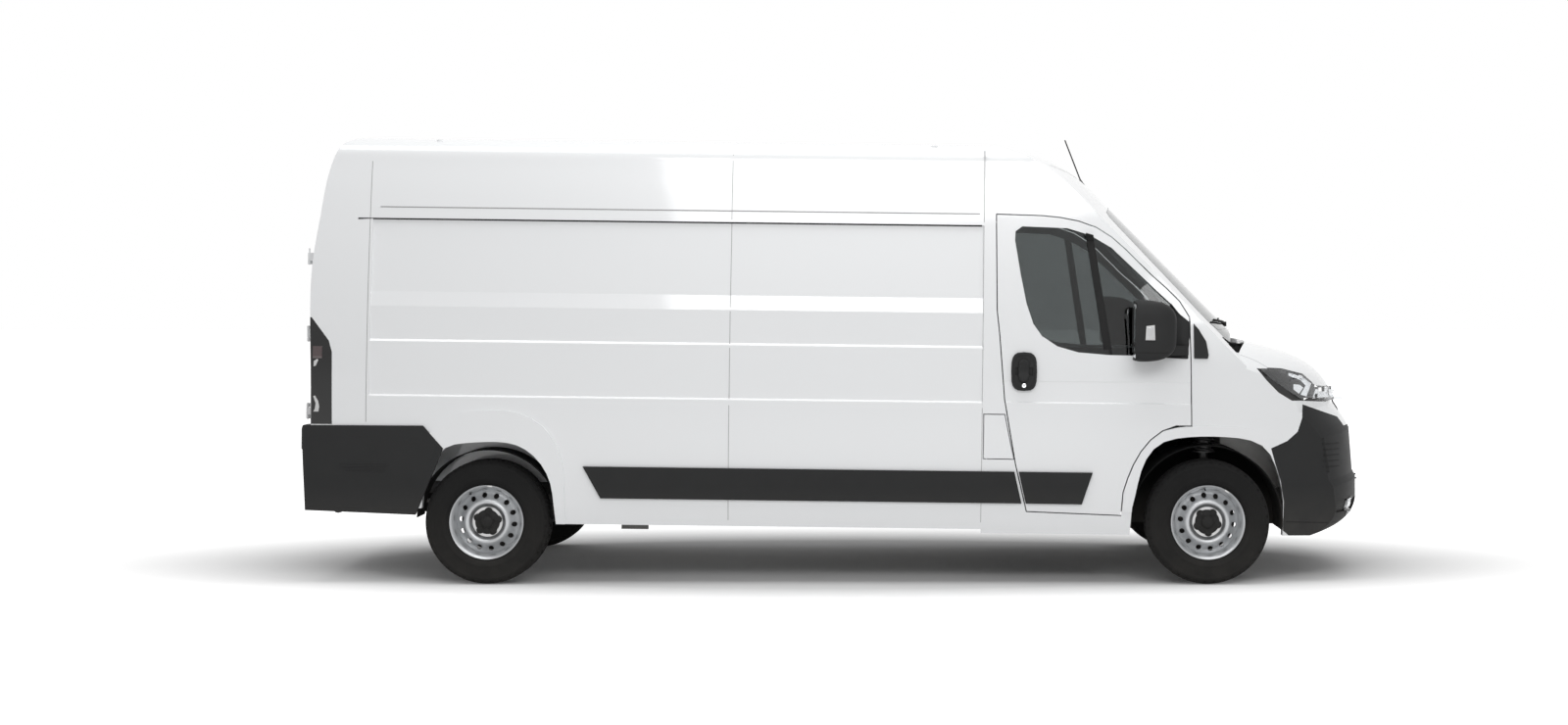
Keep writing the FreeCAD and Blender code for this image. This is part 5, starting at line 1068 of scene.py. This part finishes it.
def puffed(name, profile, y0, y1, cap, node=None):
    """A stuffed seat part: a rounded block that is blown up as cloth, within a cap."""
    bm = face_of(profile, y0)
    pulled(bm, (0.0, y1 - y0, 0.0))
    eased(bm, bm.edges[:], 20.0, 3)
    bmesh.ops.transform(bm, matrix=STANCE, verts=bm.verts)
    form = placed(name + "_form", bm)
    grid = form.modifiers.new("grid", "REMESH")
    grid.mode = "VOXEL"
    grid.voxel_size = CLOTH_GRID
    even = baked(form, name)
    bpy.data.objects.remove(form)
    piece = bpy.data.objects.new(name, even)
    scene.collection.objects.link(piece)
    start = [v.co.copy() for v in even.vertices]
    cloth = piece.modifiers.new("cloth", "CLOTH")
    cloth.settings.use_pressure = True
    cloth.settings.uniform_pressure_force = CLOTH_PRESSURE
    cloth.settings.effector_weights.gravity = 0.0
    for frame in range(1, CLOTH_FRAMES + 1):
        scene.frame_set(frame)
    blown = baked(piece, name)
    piece.modifiers.clear()
    scene.frame_set(1)
    for v, home in zip(blown.vertices, start):
        step = v.co - home
        if step.length > cap:
            v.co = home + step.normalized() * cap
    piece.data = blown
    soft = bmesh.new()
    soft.from_mesh(piece.data)
    bmesh.ops.smooth_vert(soft, verts=soft.verts, factor=0.4, use_axis_x=True,
                          use_axis_y=True, use_axis_z=True)
    soft.to_mesh(piece.data)
    soft.free()
    piece.data.materials.append(SEAT_CLOTH)
    piece.data.shade_smooth()
    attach(piece, "root")
    if node:
        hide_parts(node)


def add_seats():
    for name, node, count in (("driver", "driver_seat", 1), ("bench", "passenger_seat", 2)):
        low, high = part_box(node)
        y0, y1 = low.y * MM_IN_METRE, high.y * MM_IN_METRE
        # Nose-down, a seat's foot is lowest at its front, so its level height is taken there
        floor = SIT + MM_IN_METRE * low.z + SEAT_FOOT_X * math.sin(NOSE_DOWN)
        puffed(name + "_seat_cushion", CUSHION, y0 + PAD_GAP, y1 - PAD_GAP, SWELL, node)
        width = (y1 - y0) / count
        for index in range(count):
            near = y0 + width * index
            far = near + width
            puffed("%s_seat_back_%d" % (name, index), SEAT_BACK, near + PAD_GAP,
                   far - PAD_GAP, SWELL)
            centre = (near + far) / 2.0
            puffed("%s_head_pad_%d" % (name, index), HEAD_PAD, centre - HEAD_PAD_HALF,
                   centre + HEAD_PAD_HALF, PAD_SWELL)
            for place, offset in HEAD_POSTS.items():
                y = centre + offset
                tube("%s_head_post_%d_%s" % (name, index, place),
                     [(806, y, 1440), (808, y, 1490), (808, y, 1545)], 5.0, BRIGHT)
        plinth = slab((872, 1300), (y0 + PLINTH_GAP, y1 - PLINTH_GAP), (floor, PLINTH_TOP),
                      10.0)
        make_piece(name + "_seat_plinth", plinth, CABIN_DARK, drawn=True)


def add_cabin():
    vents = [slab((1752, 1766), (y - 46, y + 46), (1178, 1236), 5.0)
             for y in (-790.0, -160.0, 160.0, 790.0)]
    glass_x = (LEVEL @ Skin("windscreen").at_end(0.0, 2060.0, FRONT)).x
    mirror = slab((glass_x - 64, glass_x - 50), (-112, 112), (2022, 2082), 6.0)
    stem = slab((glass_x - 52, glass_x - 2), (-8, 8), (2056, 2068), 2.0)
    for name, bm, finish in (
            ("air_vents", joined(vents), GLOSS),
            ("centre_display", slab((1752, 1796), (-70, 70), (1084, 1168), 5.0), GLOSS),
            ("gear_lever_gaiter", slab((1770, 1792), (-14, 14), (930, 1010), 6.0), CABIN_DARK),
            ("inside_mirror", joined([mirror, stem]), CABIN_DARK)):
        make_piece(name, bm, finish, drawn=True)


set_camera()
finish_cad()
build_studio()
add_wheels()
add_door_trim()
add_mirrors()
add_handles()
add_side_lines()
add_headlamps()
add_tail_lamps()
add_screen_trim()
add_wipers()
add_front_details()
add_rear_details()
add_seats()
add_cabin()
add_left_side()
add_door_cards()
